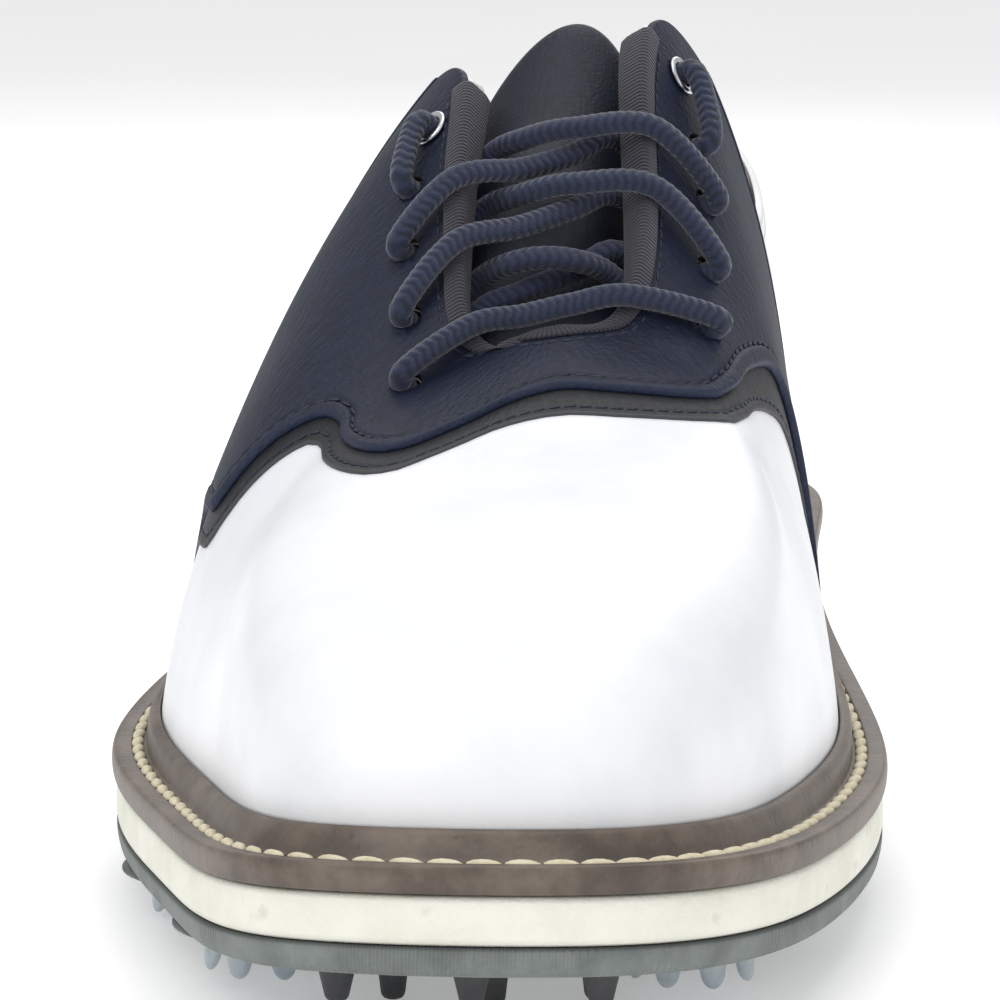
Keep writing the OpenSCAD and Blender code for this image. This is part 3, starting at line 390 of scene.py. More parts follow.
# ---------- finishes ----------
class Shade:
    """A shader socket in an expression; each operation on values adds one Math node."""

    def __init__(self, tree, socket):
        self.tree, self.socket = tree, socket

    def node(self, kind, settings=None, values=None, output=0):
        """Adds any node: its settings first, then the values or links of its sockets."""
        made = self.tree.nodes.new(kind)
        for name, value in (settings or {}).items():
            setattr(made, name, value)
        for name, value in (values or {}).items():
            if isinstance(value, Shade):
                self.tree.links.new(value.socket, made.inputs[name])
            else:
                made.inputs[name].default_value = value
        return Shade(self.tree, made.outputs[output]) if made.outputs else None

    def math(self, operation, a, b=0.0, c=0.0):
        return self.node("ShaderNodeMath", {"operation": operation}, {0: a, 1: b, 2: c})

    def __add__(self, other): return self.math("ADD", self, other)
    def __radd__(self, other): return self.math("ADD", other, self)
    def __sub__(self, other): return self.math("SUBTRACT", self, other)
    def __rsub__(self, other): return self.math("SUBTRACT", other, self)
    def __mul__(self, other): return self.math("MULTIPLY", self, other)
    def __rmul__(self, other): return self.math("MULTIPLY", other, self)
    def sin(self): return self.math("SINE", self)
    def clip(self): return self.node("ShaderNodeClamp", None, {0: self})

    def band(self, low, high):
        """0 below low, 1 above high, smooth between."""
        return self.node("ShaderNodeMapRange", {"interpolation_type": "SMOOTHSTEP"},
                         {0: self, 1: low, 2: high, 3: 0.0, 4: 1.0})

    def noise(self, scale, detail=3.0, roughness=0.5):
        """Fine noise over the object, in features per metre."""
        return self.node("ShaderNodeTexNoise", None, {"Vector": self, "Scale": scale,
                         "Detail": detail, "Roughness": roughness})

    def cells(self, scale, feature="F1"):
        """Distance within rounded cells, in cells per metre."""
        return self.node("ShaderNodeTexVoronoi", {"feature": feature}, {"Vector": self, "Scale": scale})

    def between(self, a, b):
        """Colour a where self is 0, b where it is 1."""
        a, b = (c if isinstance(c, Shade) else (*c, 1) for c in (a, b))
        return self.node("ShaderNodeMix", {"data_type": "RGBA"}, {0: self, 6: a, 7: b}, output=2)


def tone(r, g, b):
    """A screen colour of 0 to 255 as a linear one."""
    return tuple((c / 255) ** 2.2 for c in (r, g, b))


def finish_of(name, paint, **constants):
    """A material whose paint(at, mark, uv) gives its varying Base Color, Roughness and bump
    (height, distance in metres); constants go on the shader's own sockets."""
    material = bpy.data.materials.new(name)
    material.use_nodes = True
    tree = material.node_tree
    tree.nodes.clear()
    start = Shade(tree, None)
    at = start.node("ShaderNodeTexCoord", output="Object")
    uv = start.node("ShaderNodeTexCoord", output="UV")

    def mark(which):
        return start.node("ShaderNodeAttribute", {"attribute_name": which}, output="Fac")

    colour, roughness, bump, depth = paint(at, mark, uv)
    normal = start.node("ShaderNodeBump", None, {"Height": bump, "Distance": depth, "Strength": 1.0})
    values = {"Base Color": colour, "Roughness": roughness, "Normal": normal}
    values.update({k.replace("_", " "): v for k, v in constants.items()})
    surface = start.node("ShaderNodeBsdfPrincipled", None, values)
    start.node("ShaderNodeOutputMaterial", None, {0: surface})
    return material


def smooth_leather(light, dark, shade_colour):
    """Polished leather: fine pores, soft cloudiness, and painted shade low on the piece and along its seams.
    """
    def paint(at, mark, uv):
        cloud = at.noise(38, 4.0)
        pores = at.cells(1500)
        creases = at.noise(420, 4.0)
        low = 1 - mark("low").band(0.0, 9.0)
        seam = 1 - mark("edge").band(0.0, 2.2)
        # painted shade: colour darker towards the lower edge and along the seams
        shade_amount = ((low * 0.55 + seam * 0.3) * (cloud + 0.5)).clip()
        colour = shade_amount.between(cloud.band(0.3, 0.75).between(light, dark), shade_colour)
        return colour, 0.3 + cloud * 0.16 + shade_amount * 0.2, pores * 0.25 + creases * 0.75, 0.00009
    return paint


def pebbled_leather(base, worn, fineness, depth=0.00022):
    """Printed grain: short fine ridges that run up the piece with painted shade in their valleys,
    small pebbles between them, and paler colour along worn edges. Its uv is in millimetres."""
    def paint(at, mark, uv):
        ridge_at = uv.node("ShaderNodeVectorMath", {"operation": "MULTIPLY"}, {0: uv, 1: (1.0, 0.38, 1.0)})
        ridges = ridge_at.cells(1.25 * fineness, "SMOOTH_F1")
        pebbles = at.cells(1500 * fineness, "SMOOTH_F1")
        patch = at.noise(45, 2.0).band(0.4, 0.6)
        cloud = at.noise(60, 4.0)
        edge = 1 - mark("edge").band(0.1, 0.9)
        height = (1 - ridges) * (0.3 + patch * 0.5) + (1 - pebbles) * 0.45 + at.noise(2600, 2.0) * 0.15
        # painted shade: colour darker in the valleys between the ridges
        shade = ridges.band(0.15, 0.75).between(base, tuple(c * 0.6 for c in base))
        colour = (edge * 0.45 + (cloud - 0.5).clip() * 0.4).clip().between(shade, worn)
        return colour, 0.47 + cloud * 0.14 + ridges * 0.06, height, depth
    return paint


def plain_grain(base, other, scale=600, rough=0.6, depth=0.00015):
    """Matt material with a mottle of two colours and a fine even grain."""
    def paint(at, mark, uv):
        mottle = at.noise(scale * 0.12, 5.0, 0.6)
        grain = at.noise(scale * 2.2, 3.0)
        colour = mottle.band(0.3, 0.7).between(base, other)
        return colour, rough + grain * 0.16, grain * 0.7 + mottle * 0.3, depth
    return paint


def waxed_edge(at, mark, uv):
    """Waxed welt leather: brown-grey mottle, fine pits, and painted shade in its stitch groove, under its
    edge and where it meets the upper.
    """
    mottle = at.noise(95, 6.0, 0.62)
    fine = at.noise(900, 4.0)
    pits = at.cells(520).band(0.0, 0.3)
    groove = mark("edge")
    colour = mottle.band(0.28, 0.72).between(tone(74, 63, 55), tone(118, 105, 94))
    # painted shade from the welt's edge mark: dark brown in the groove, under the edge and against the upper
    colour = (groove * 0.75).clip().between(colour, tone(38, 32, 28))
    return colour, 0.36 + mottle * 0.25 + groove * 0.2, fine * 0.5 + pits * 0.3 + mottle * 0.4, 0.00028


def rippled_rubber(at, mark, uv):
    """Moulded rubber: patches of fine upright ripples and a dusty bloom."""
    along_edge = uv.node("ShaderNodeSeparateXYZ", None, {0: uv})
    patch = at.noise(34, 2.0).band(0.42, 0.58)
    ripple = (along_edge * 6.4 + at.noise(160, 2.0) * 5.0).sin() * 0.5 + 0.5
    dust = at.noise(120, 5.0, 0.65)
    fine = at.noise(1300, 3.0)
    colour = dust.band(0.25, 0.75).between(tone(100, 106, 104), tone(128, 134, 131))
    colour = (mark("edge") * 0.8).clip().between(colour, tone(40, 44, 45))
    return colour, 0.55 + dust * 0.2, ripple * patch * 0.8 + fine * 0.3, 0.0003


def sanded_foam(at, mark, uv):
    """Cream foam sole: sandy texture, faint scuffs and a darker line at its edges."""
    sand = at.noise(1500, 4.0, 0.6)
    blotch = at.noise(70, 5.0, 0.6)
    scuff = at.noise(210, 3.0).band(0.62, 0.75)
    colour = blotch.band(0.3, 0.72).between(tone(240, 240, 229), tone(226, 225, 211))
    colour = (scuff * 0.3 + mark("edge") * 0.5).clip().between(colour, tone(176, 172, 158))
    return colour, 0.58 + sand * 0.2, sand * 0.8 + blotch * 0.2, 0.00022


def clear_plastic(at, mark, uv):
    """Milky moulded plastic: faint flow lines and scratches."""
    flow = at.noise(180, 4.0, 0.6)
    scratch = at.noise(900, 3.0)
    colour = flow.band(0.3, 0.7).between(tone(190, 205, 214), tone(222, 230, 234))
    return colour, 0.22 + flow * 0.2, scratch * 0.6 + flow * 0.4, 0.00015


def braided_cord(base, light):
    """Round braid: columns of chevrons made of fine fibres, and a soft fuzz."""
    def paint(at, mark, uv):
        run = uv.node("ShaderNodeSeparateXYZ", None, {0: uv})
        across = uv.node("ShaderNodeSeparateXYZ", None, {0: uv}, output=1)
        column = across.math("PINGPONG", across, 0.5) * 2
        chevron = (run * 4.4 - column * 2.6 + 2.6).sin() * 0.5 + 0.5
        strand = chevron * 0.7 + column * 0.3
        fuzz = at.noise(2600, 3.0)
        cloud = at.noise(140, 3.0)
        colour = (strand * 0.55 + fuzz * 0.35 + cloud * 0.25 - 0.15).clip().between(base, light)
        return colour, 0.82 + fuzz * 0.12, strand * 0.7 + fuzz * 0.5, 0.0003
    return paint


def ribbed_tape(base, light):
    """Woven tape with fine crosswise ribs."""
    def paint(at, mark, uv):
        run = uv.node("ShaderNodeSeparateXYZ", None, {0: uv})
        rib = (run * 9.5).sin() * 0.5 + 0.5
        fibre = at.noise(2400, 3.0)
        colour = (rib * 0.6 + fibre * 0.4).between(base, light)
        return colour, 0.72 + fibre * 0.18, rib * 0.8 + fibre * 0.3, 0.00022
    return paint


def woven_cloth(base, light, scale=1100):
    """Plain weave: threads over and under in two directions."""
    def paint(at, mark, uv):
        x = uv.node("ShaderNodeSeparateXYZ", None, {0: at})
        y = uv.node("ShaderNodeSeparateXYZ", None, {0: at}, output=1)
        weave = (x * scale * 3.1).sin() * (y * scale * 3.1).sin() * 0.5 + 0.5
        fuzz = at.noise(1700, 3.0)
        wear = at.noise(40, 4.0)
        colour = (weave * 0.5 + fuzz * 0.2 + wear * 0.3).between(base, light)
        return colour, 0.8 + fuzz * 0.15, weave * 0.7 + fuzz * 0.3, 0.00025
    return paint


def brushed_metal(at, mark, uv):
    """Plated metal: fine brushing and a few small pits."""
    brush = at.noise(1900, 4.0)
    tarnish = at.noise(300, 4.0)
    colour = tarnish.band(0.35, 0.8).between(tone(214, 216, 219), tone(168, 170, 174))
    return colour, 0.17 + brush * 0.12 + tarnish * 0.1, brush * 0.6 + tarnish * 0.4, 0.00005


def waxed_thread(base, light):
    """Twisted thread: rounded strands with fine fibres between."""
    def paint(at, mark, uv):
        fibre = at.noise(2200, 3.0)
        twist = at.cells(900, "SMOOTH_F1")
        mottle = at.noise(160, 3.0)
        colour = (fibre * 0.5 + twist * 0.5 + mottle * 0.3 - 0.1).clip().between(base, light)
        return colour, 0.5 + fibre * 0.2, twist * 0.7 + fibre * 0.4, 0.0002
    return paint


NAVY, NAVY_WORN = tone(22, 31, 54), tone(50, 60, 88)
# The third colour is painted shade, laid low on the vamp and quarters and along their seams.
WHITE = finish_of("white_leather", smooth_leather(tone(244, 245, 248), tone(228, 231, 236),
                  tone(150, 146, 140)), Coat_Weight=0.25, Coat_Roughness=0.25)
PEBBLED = finish_of("navy_leather", pebbled_leather(NAVY, NAVY_WORN, 1.0), Specular_IOR_Level=0.4)
TONGUE_LEATHER = finish_of("navy_tongue", pebbled_leather(tone(18, 26, 46), NAVY_WORN, 1.4, 0.00014))
GREY_LEATHER = finish_of("grey_leather", pebbled_leather(tone(34, 36, 40), tone(88, 89, 94), 1.2, 0.00014))
LINING = finish_of("lining_leather", plain_grain(tone(206, 200, 188), tone(188, 181, 168), 500, 0.62))
WELT = finish_of("welt_leather", waxed_edge, Coat_Weight=0.15, Coat_Roughness=0.3)
RUBBER = finish_of("outsole_rubber", rippled_rubber)
STUD = finish_of("stud_rubber", plain_grain(tone(52, 53, 56), tone(76, 76, 78), 700, 0.55))
SOCKET = finish_of("socket_plastic", plain_grain(tone(58, 62, 66), tone(80, 84, 88), 400, 0.4))
FOAM = finish_of("midsole_foam", sanded_foam)
CLEAT = finish_of("cleat_plastic", clear_plastic, Transmission_Weight=0.45, IOR=1.45)
LACE = finish_of("lace_cord", braided_cord(tone(15, 20, 36), tone(50, 60, 90)), Sheen_Weight=0.35)
TAPE = finish_of("binding_tape", ribbed_tape(tone(28, 27, 36), tone(66, 63, 76)), Sheen_Weight=0.2)
TAN_THREAD = finish_of("stitch_thread", waxed_thread(tone(186, 172, 138), tone(240, 232, 206)))
# Dark navy thread; the same finish gives the painted shade of the welt's needle slits.
DARK_THREAD_AND_SLIT_SHADE = finish_of("dark_thread_and_slit_shade", waxed_thread(tone(16, 19, 30), tone(50, 56, 76)))
PALE_THREAD = finish_of("pale_thread", waxed_thread(tone(196, 198, 204), tone(240, 240, 242)))
METAL = finish_of("bright_metal", brushed_metal, Metallic=1.0)
AGLET = finish_of("aglet_metal", brushed_metal, Metallic=1.0)
SOCK = finish_of("footbed_fabric", woven_cloth(tone(62, 66, 76), tone(112, 117, 128)))
PADDING = finish_of("foam_padding", plain_grain(tone(214, 206, 182), tone(232, 226, 206), 900, 0.8))
BOARD = finish_of("stiffener_board", plain_grain(tone(196, 180, 146), tone(170, 152, 118), 300, 0.75))
FIBRE = finish_of("fibreboard", plain_grain(tone(150, 124, 92), tone(120, 96, 70), 260, 0.8))
CORK = finish_of("cork", plain_grain(tone(176, 132, 88), tone(112, 78, 50), 900, 0.85, 0.0004))
STEEL = finish_of("spring_steel", brushed_metal, Metallic=1.0)
RAW_EDGE = finish_of("raw_edge", plain_grain(tone(62, 54, 38), tone(34, 30, 22), 700, 0.85))


def dress(piece, *materials):
    """Gives a piece its materials, in slot order."""
    piece.data.materials.clear()
    for m in materials:
        piece.data.materials.append(m)
    return piece


CARRIED = {"cleat_sockets": SOCKET, "cork_filler": CORK, "shank": STEEL, "insole_board": FIBRE,
           "toe_puff": BOARD, "heel_counter": BOARD, "lateral_stay": BOARD, "medial_stay": BOARD}
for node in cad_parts.values():
    dress(node, CARRIED.get(node.name, PADDING))

# ---------- lace and its free ends: these come first ----------
def route_through(hole):
    """Three points through a hole: under the lining, within the leathers, over the saddle."""
    return skin(np.full(3, hole[0]), np.full(3, hole[1]), np.array([UNDER_W, WITHIN_W, OVER_W]))


def route_across(ka, wa, middle, kb, wb):
    """From one edge station to another with two raised points a third and two thirds across."""
    a, b = wall(ka, 1.0), wall(kb, 1.0)
    lift = np.array([0, -0.69, 0.72])
    return np.stack([skin(ka, 1.0, wa), a * 0.67 + b * 0.33 + middle[0] * lift,
                     a * 0.33 + b * 0.67 + middle[1] * lift, skin(kb, 1.0, wb)])


def braid_tube(path, radius):
    """Tube with four columns of chevrons: r (0.955 + 0.03 sin(4.4 s + 2.6 v) + 0.03 c), where
    s runs along it, v is a triangle wave across each column and c is low between columns."""
    s, a = run_length(path)[:, None], np.linspace(0, 4, 25)[None]
    v = np.abs(a % 1 - 0.5) * 2
    return tube_parts(path, radius * (0.955 + 0.03 * np.sin(4.4 * s + 2.6 * v)
                                      + 0.03 * (1 - v ** 3)), 24)


L, M = HOLES_LATERAL, HOLES_MEDIAL
LACE_ROUTE = np.concatenate([
    route_through(L[4]), skin(np.array([8.85]), np.array([0.91]), np.array([7.9])),
    route_through(L[3])[::-1], route_across(8.99, UNDER_W, [2.2, 4.7], 22.9, OVER_W),
    route_through(M[2])[::-1], route_across(22.56, UNDER_W, [1.3, 3.8], 10.37, OVER_W),
    route_through(L[1])[::-1], route_across(10.43, UNDER_W, [3.3, 3.3], 21.46, UNDER_W),
    route_through(M[0]), route_across(20.4, OVER_W, [6, 6], 12.15, OVER_W),
    route_through(L[0])[::-1], route_across(10.96, UNDER_W, [-1.4, -1.6], 21.91, UNDER_W),
    route_through(M[1]), route_across(22.31, OVER_W, [5.8, 2.6], 9.56, UNDER_W),
    route_through(L[2]), route_across(9.6, OVER_W, [2.9, 0.2], 23.04, UNDER_W),
    route_through(M[3]), skin(np.array([23.7]), np.array([0.84]), np.array([7.9])),
    route_through(M[4])[::-1]])


def smooth_path(points, step):
    """Catmull-Rom curve through the points, spaced evenly."""
    return evenly(along(points, np.linspace(0, len(points) - 1, 24 * len(points))), step)


lace_path = smooth_path(LACE_ROUTE, LACE_STEP)
points, faces, uv = braid_tube(lace_path, LACE_D / 2)
lace = dress(make_piece("lace_laced", [(points, faces)], "shoe", uv=uv, weld=0.002), LACE)
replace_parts(lace, "lace")

for side, hole, ends in (("lateral", L[4], END_LATERAL), ("medial", M[4], END_MEDIAL)):
    start = skin(np.array(hole[0]), np.array(hole[1]), np.array(UNDER_W))
    path = smooth_path(np.concatenate([[start], ends]), LACE_STEP)
    points, faces, uv = braid_tube(path, LACE_D / 2)
    cord = dress(make_piece(f"lace_end_{side}_cord", [(points, faces)], "shoe",
                            uv=uv, weld=0.002), LACE)
    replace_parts(cord, f"lace_end_{side}")
    way = unit(path[-1] - path[-2])
    tip = lathe_part([(0, 0.02), (1.55, 0.04), (1.68, 0.3), (1.7, 1.2), (1.5, 1.6), (1.5, 2.0),
                      (1.68, 2.4), (1.7, 10), (1.66, 17), (1.5, 19.2), (1.1, 19.9), (0, 20)],
                     32, path[-1], way)
    aglet = dress(make_piece(f"aglet_{side}_tip", [tip], "shoe", weld=0.002), AGLET)
    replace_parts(aglet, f"aglet_{side}")


# ---------- sole ----------
ROUND = np.arange(0, 32, 0.1)


def slab_body(profile, low, high, across=44):
    """Profile of (inset, height function) carried round the outline, closed underneath
    and on top by rows across the shoe at heights low(u, x) and high(u, x)."""
    k, half = ROUND, len(ROUND) // 2
    sides = np.stack([ring(k, np.full(len(k), float(d)), h) for d, h in profile], 1)
    parts = [(sides, grid_faces(*sides.shape[:2], closed_n=True))]
    for edge, height, turn in ((sides[:, 0], low, 1), (sides[:, -1], high, -1)):
        a, b = edge[:half + 1], edge[(-np.arange(half + 1)) % len(k)]
        f = np.linspace(0, 1, across)[None, :, None]
        cap = a[:, None] * (1 - f) + b[:, None] * f
        cap[:, 1:-1, 2] = height(cap[:, 1:-1, 1], cap[:, 1:-1, 0])
        parts.append((cap, grid_faces(*cap.shape[:2])[:, ::turn]))
    return sides, parts


def sole_piece(name, profile, low, high, finish, edges):
    """A slab with its running length round the edge as uv, and marks at its edge lines."""
    sides, parts = slab_body(profile, low, high)
    s = run_length(np.concatenate([sides[:, 0], sides[:1, 0]]))[:-1]
    up = np.linspace(0, 1, sides.shape[1])
    uv = [np.stack(np.broadcast_arrays(s[:, None], up[None]), -1).reshape(-1, 2)]
    uv += [np.asarray(p)[..., :2].reshape(-1, 2) for p, f in parts[1:]]
    mark = np.concatenate([np.broadcast_to(np.asarray(edges, float), sides.shape[:2]).ravel()]
                          + [np.zeros(np.asarray(p).reshape(-1, 3).shape[0]) for p, f in parts[1:]])
    piece = make_piece(name, parts, "shoe", {"edge": mark, "low": mark}, np.concatenate(uv), 0.01)
    return dress(piece, finish)


def above(base, rise):
    return lambda u: base(u) + rise


outsole = sole_piece("outsole_rubber_unit",
    [(3.2, above(underside, 0)), (1.6, above(underside, 0.05)), (0.8, above(underside, 0.35)),
     (0.35, above(underside, 1.0)), (0.12, above(underside, 2.0)), (0.02, above(outsole_top, -1.3)),
     (0.0, above(outsole_top, -0.7)), (0.1, above(outsole_top, -0.4)), (0.45, above(outsole_top, -0.12)),
     (1.2, above(outsole_top, 0.0)), (3.0, above(outsole_top, 0.0))],
    lambda u, x: underside(u), lambda u, x: outsole_top(u), RUBBER,
    [0, 0, 0.1, 0, 0, 0, 0.1, 0.7, 1, 1, 1])
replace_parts(outsole, "outsole")
midsole = sole_piece("midsole_foam_unit",
    [(3.0, above(outsole_top, 0.05)), (0.7, above(outsole_top, 0.05)), (0.15, above(outsole_top, 0.4)),
     (0.0, above(outsole_top, 1.1)), (0.0, above(outsole_top, 2.6)), (0.1, above(midsole_top, -2.4)),
     (0.2, above(midsole_top, -1.1)), (0.5, above(midsole_top, -0.35)), (1.2, above(midsole_top, -0.05)),
     (3.0, above(midsole_top, -0.05))],
    lambda u, x: outsole_top(u) + 0.05, lambda u, x: midsole_top(u) - 0.05, FOAM,
    [1, 1, 0.3, 0, 0, 0, 0, 0.3, 1, 1])
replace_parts(midsole, "midsole")

for name, places, reach in (("toe_studs", TOE_STUDS, 5.7), ("forefoot_studs", FOREFOOT_STUDS, None),
                            ("heel_studs", HEEL_STUDS, None)):
    parts = []
    for x, u in places:
        z = float(underside(np.array(float(u))))
        h = reach or z
        profile = [(0, -h), (0.9, -h + 0.03), (1.35, -h + 0.22), (1.62, -h + 0.6), (1.74, -h + 1.1),
                   (2.55, -1.1), (2.66, -0.6), (2.95, -0.2), (3.3, 0.02), (3.3, 0.4), (0, 0.4)]
        parts.append(lathe_part(profile, 32, np.array([x, u, z])))
    piece = make_piece(name + "_cones", parts, "shoe", weld=0.002)
    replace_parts(dress(piece, STUD), name)

seats = []
for x, u in CLEATS:
    z = float(underside(np.array(float(u))))
    seats.append(lathe_part([(10.75, 0.3), (10.75, -0.5), (10.95, -0.78), (11.3, -0.86), (11.8, -0.7),
                             (12.6, -0.25), (13.4, 0.05), (13.4, 0.3), (10.75, 0.3)][::-1], 48,
                            np.array([x, u, z])))
dress(make_piece("cleat_seats", seats, "shoe",
                 {"edge": np.zeros(9 * 9 * 48), "low": np.zeros(9 * 9 * 48)},
                 np.zeros((9 * 9 * 48, 2)), 0.002), RUBBER)


def cleat_parts(centre, reach):
    """Turned flange and stem, and eight teeth, each an ellipse
    of half sizes (radial, tangential) carried down and outwards and rounded at its tip."""
    flange = lathe_part([(0, -2.7), (2.6, -2.7), (3.3, -2.5), (3.9, -1.45), (7.2, -1.5), (9.0, -1.42),
                         (9.75, -1.2), (10, -0.8), (10, -0.5), (9.8, -0.15), (9.4, -0.02), (5.3, 0),
                         (5.2, 0.2), (5.2, 3.0), (4.9, 3.38), (0, 3.4)], 48, centre)
    parts = [flange]
    s = np.array([0, 0.15, 0.35, 0.55, 0.72, 0.85, 0.93, 0.98, 1.0])[:, None]
    shrink = np.sqrt(np.clip(1 - (np.clip(s - 0.72, 0, 1) / 0.285) ** 2, 0, 1))
    q = np.linspace(0, 2 * np.pi, 14, endpoint=False)[None]
    for turn in (np.arange(8) + 0.5) * np.pi / 4:
        r = 7.5 + 0.9 * s + (1.55 - 0.65 * s) * shrink * np.cos(q)
        side = (2.35 - 0.95 * s) * shrink * np.sin(q)
        z = -1.2 - (reach + 0.2) * s + 0 * q
        x = r * np.cos(turn) - side * np.sin(turn)
        y = r * np.sin(turn) + side * np.cos(turn)
        tooth = np.stack([x, y, z], -1)[::-1] + centre
        parts.append((tooth, grid_faces(*tooth.shape[:2], closed_m=True)[:, ::-1]))
    return parts


for i, (x, u) in enumerate(CLEATS, 1):
    centre = np.array([x, u, float(underside(np.array(float(u)))) + 0.5])
    piece = make_piece(f"soft_cleat_{i}", cleat_parts(centre, GROUND_GAP - 1.2), f"cleat_{i}",
                       weld=0.002)
    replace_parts(dress(piece, CLEAT), f"cleat_{i}")

# ---------- welt and its stitching ----------
RING = np.arange(0, 32, 0.05)


def welt_profile(k):
    """Round outer edge, flat shelf, stitch groove, then a plump rand that rises against
    the upper and folds over; spline through the listed points at each station."""
    n = len(k)
    at = lambda d, z: ring(k, np.full(n, float(d)), lambda u: welt_top(u) + z)
    rim, low = skin(k, np.full(n, 0.045), np.full(n, 3.45)), skin(k, np.full(n, 0.0), np.full(n, 3.4))
    out = np.concatenate([outward(k), np.zeros((n, 1))], -1)
    up = np.array([0, 0, 1.0])
    bulge = rim + 1.9 * out - 1.3 * up
    low = np.concatenate([low[:, :2], welt_top(low[:, 1])[:, None] - 0.05], -1)
    rows = [at(1.2, -3.95), at(-0.1, -3.9), at(-0.48, -3.3), at(-0.62, -2.0), at(-0.5, -0.75),
            at(-0.1, -0.1), at(0.8, 0.05), at(1.9, 0.05), at(2.4, -0.1),
            at(2.75, -0.75), at(3.3, -1.2), at(3.85, -0.75), at(4.2, -0.1), at(4.7, 0.3), bulge,
            rim + 1.15 * out - 0.25 * up, rim + 0.45 * out + 0.12 * up,
            rim + 0.05 * out + 0.02 * up, rim - 0.05 * out - 0.9 * up]
    return np.stack(rows), low


rows, low = welt_profile(RING)
profile_at = np.linspace(0, len(rows) - 1, 4 * len(rows) - 3)
WELT_REACH = 13.9
hidden_side = [ring(RING, np.full(len(RING), WELT_REACH), above(welt_top, z)) for z in (-0.05, -3.95)]
section = np.concatenate([along(rows, profile_at), low[None], np.stack(hidden_side)]).transpose(1, 0, 2)
# Painted shade on the welt: darkest in the stitch groove and where the rand meets the upper, half as dark
# under its outer edge.
shade_amount = np.concatenate([np.interp(profile_at, [0, 3, 7.5, 9, 10, 11, 12.5, 13.2, 15, 16, 18],
                                 [0.5, 0, 0, 0.8, 1, 0.9, 0.1, 0.25, 0.0, 0.15, 1]), [1, 0, 0]])
mark = np.broadcast_to(shade_amount, section.shape[:2])
welt = make_piece("welt_with_rand", [(section, grid_faces(*section.shape[:2], closed_n=True, closed_m=True))],
                  "shoe", {"edge": mark, "low": mark})
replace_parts(dress(welt, WELT), "welt")


def surface_run(k, t, w, step):
    """A line over the upper, evenly spaced, with the normals beside it."""
    line = np.concatenate([skin(k, t, w), np.stack([k, t], -1)], -1)
    s = run_length(line[:, :3])
    at = np.linspace(0, s[-1], max(2, int(round(s[-1] / step)) + 1))
    at = np.stack([np.interp(at, s, line[:, i]) for i in range(5)], -1)
    return at[:, :3], wall_normal(at[:, 3], at[:, 4])


line = ring(np.arange(0, 32.01, 0.02), np.full(1601, 3.3), above(welt_top, -0.3))
line = evenly(line, 5.0)[:-1]
way = np.roll(line, -1, 0) - np.roll(line, 1, 0)
top = np.broadcast_to([0.0, 0.0, 1.0], line.shape)
parts = [beads(line, way, top, (2.5, 0.95, 0.85), 8, 8, -0.16)]
welt_thread = make_piece("welt_half_moon_stitches", parts, "shoe", weld=0.01)
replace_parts(dress(welt_thread, TAN_THREAD), "welt_stitching")
# Dark beads sunk between the welt stitches stand in for the shade inside the needle slits: painted shade.
between = (line + np.roll(line, -1, 0)) / 2
out = unit(np.cross(way, top))
between = between + out * 0.25 * (1 if (out[0] @ (line[0] - [8, 150, 0])) > 0 else -1)
dress(make_piece("welt_needle_slit_shade", [beads(between - [0, 0, 0.25], way, top, (0.5, 0.95, 0.3), 6, 6)],
                 "shoe", weld=0.01), DARK_THREAD_AND_SLIT_SHADE)

# ---------- leathers of the upper ----------
EDGE_STEPS = np.array([0, 0.08, 0.22, 0.42, 0.7, 1.0, 1.4, 1.9, 2.3, 2.6, 2.85, 3.1, 3.5, 4.2])


def edge_spaced(length, step, rim):
    """Distances 0 to length: fine steps near both ends, even steps between."""
    e = rim * min(1.0, length / (2.4 * rim[-1]))
    inner = np.linspace(e[-1], length - e[-1], max(3, int((length - 2 * e[-1]) / step) + 1))
    return np.concatenate([e[:-1], inner, (length - e[:-1])[::-1]])


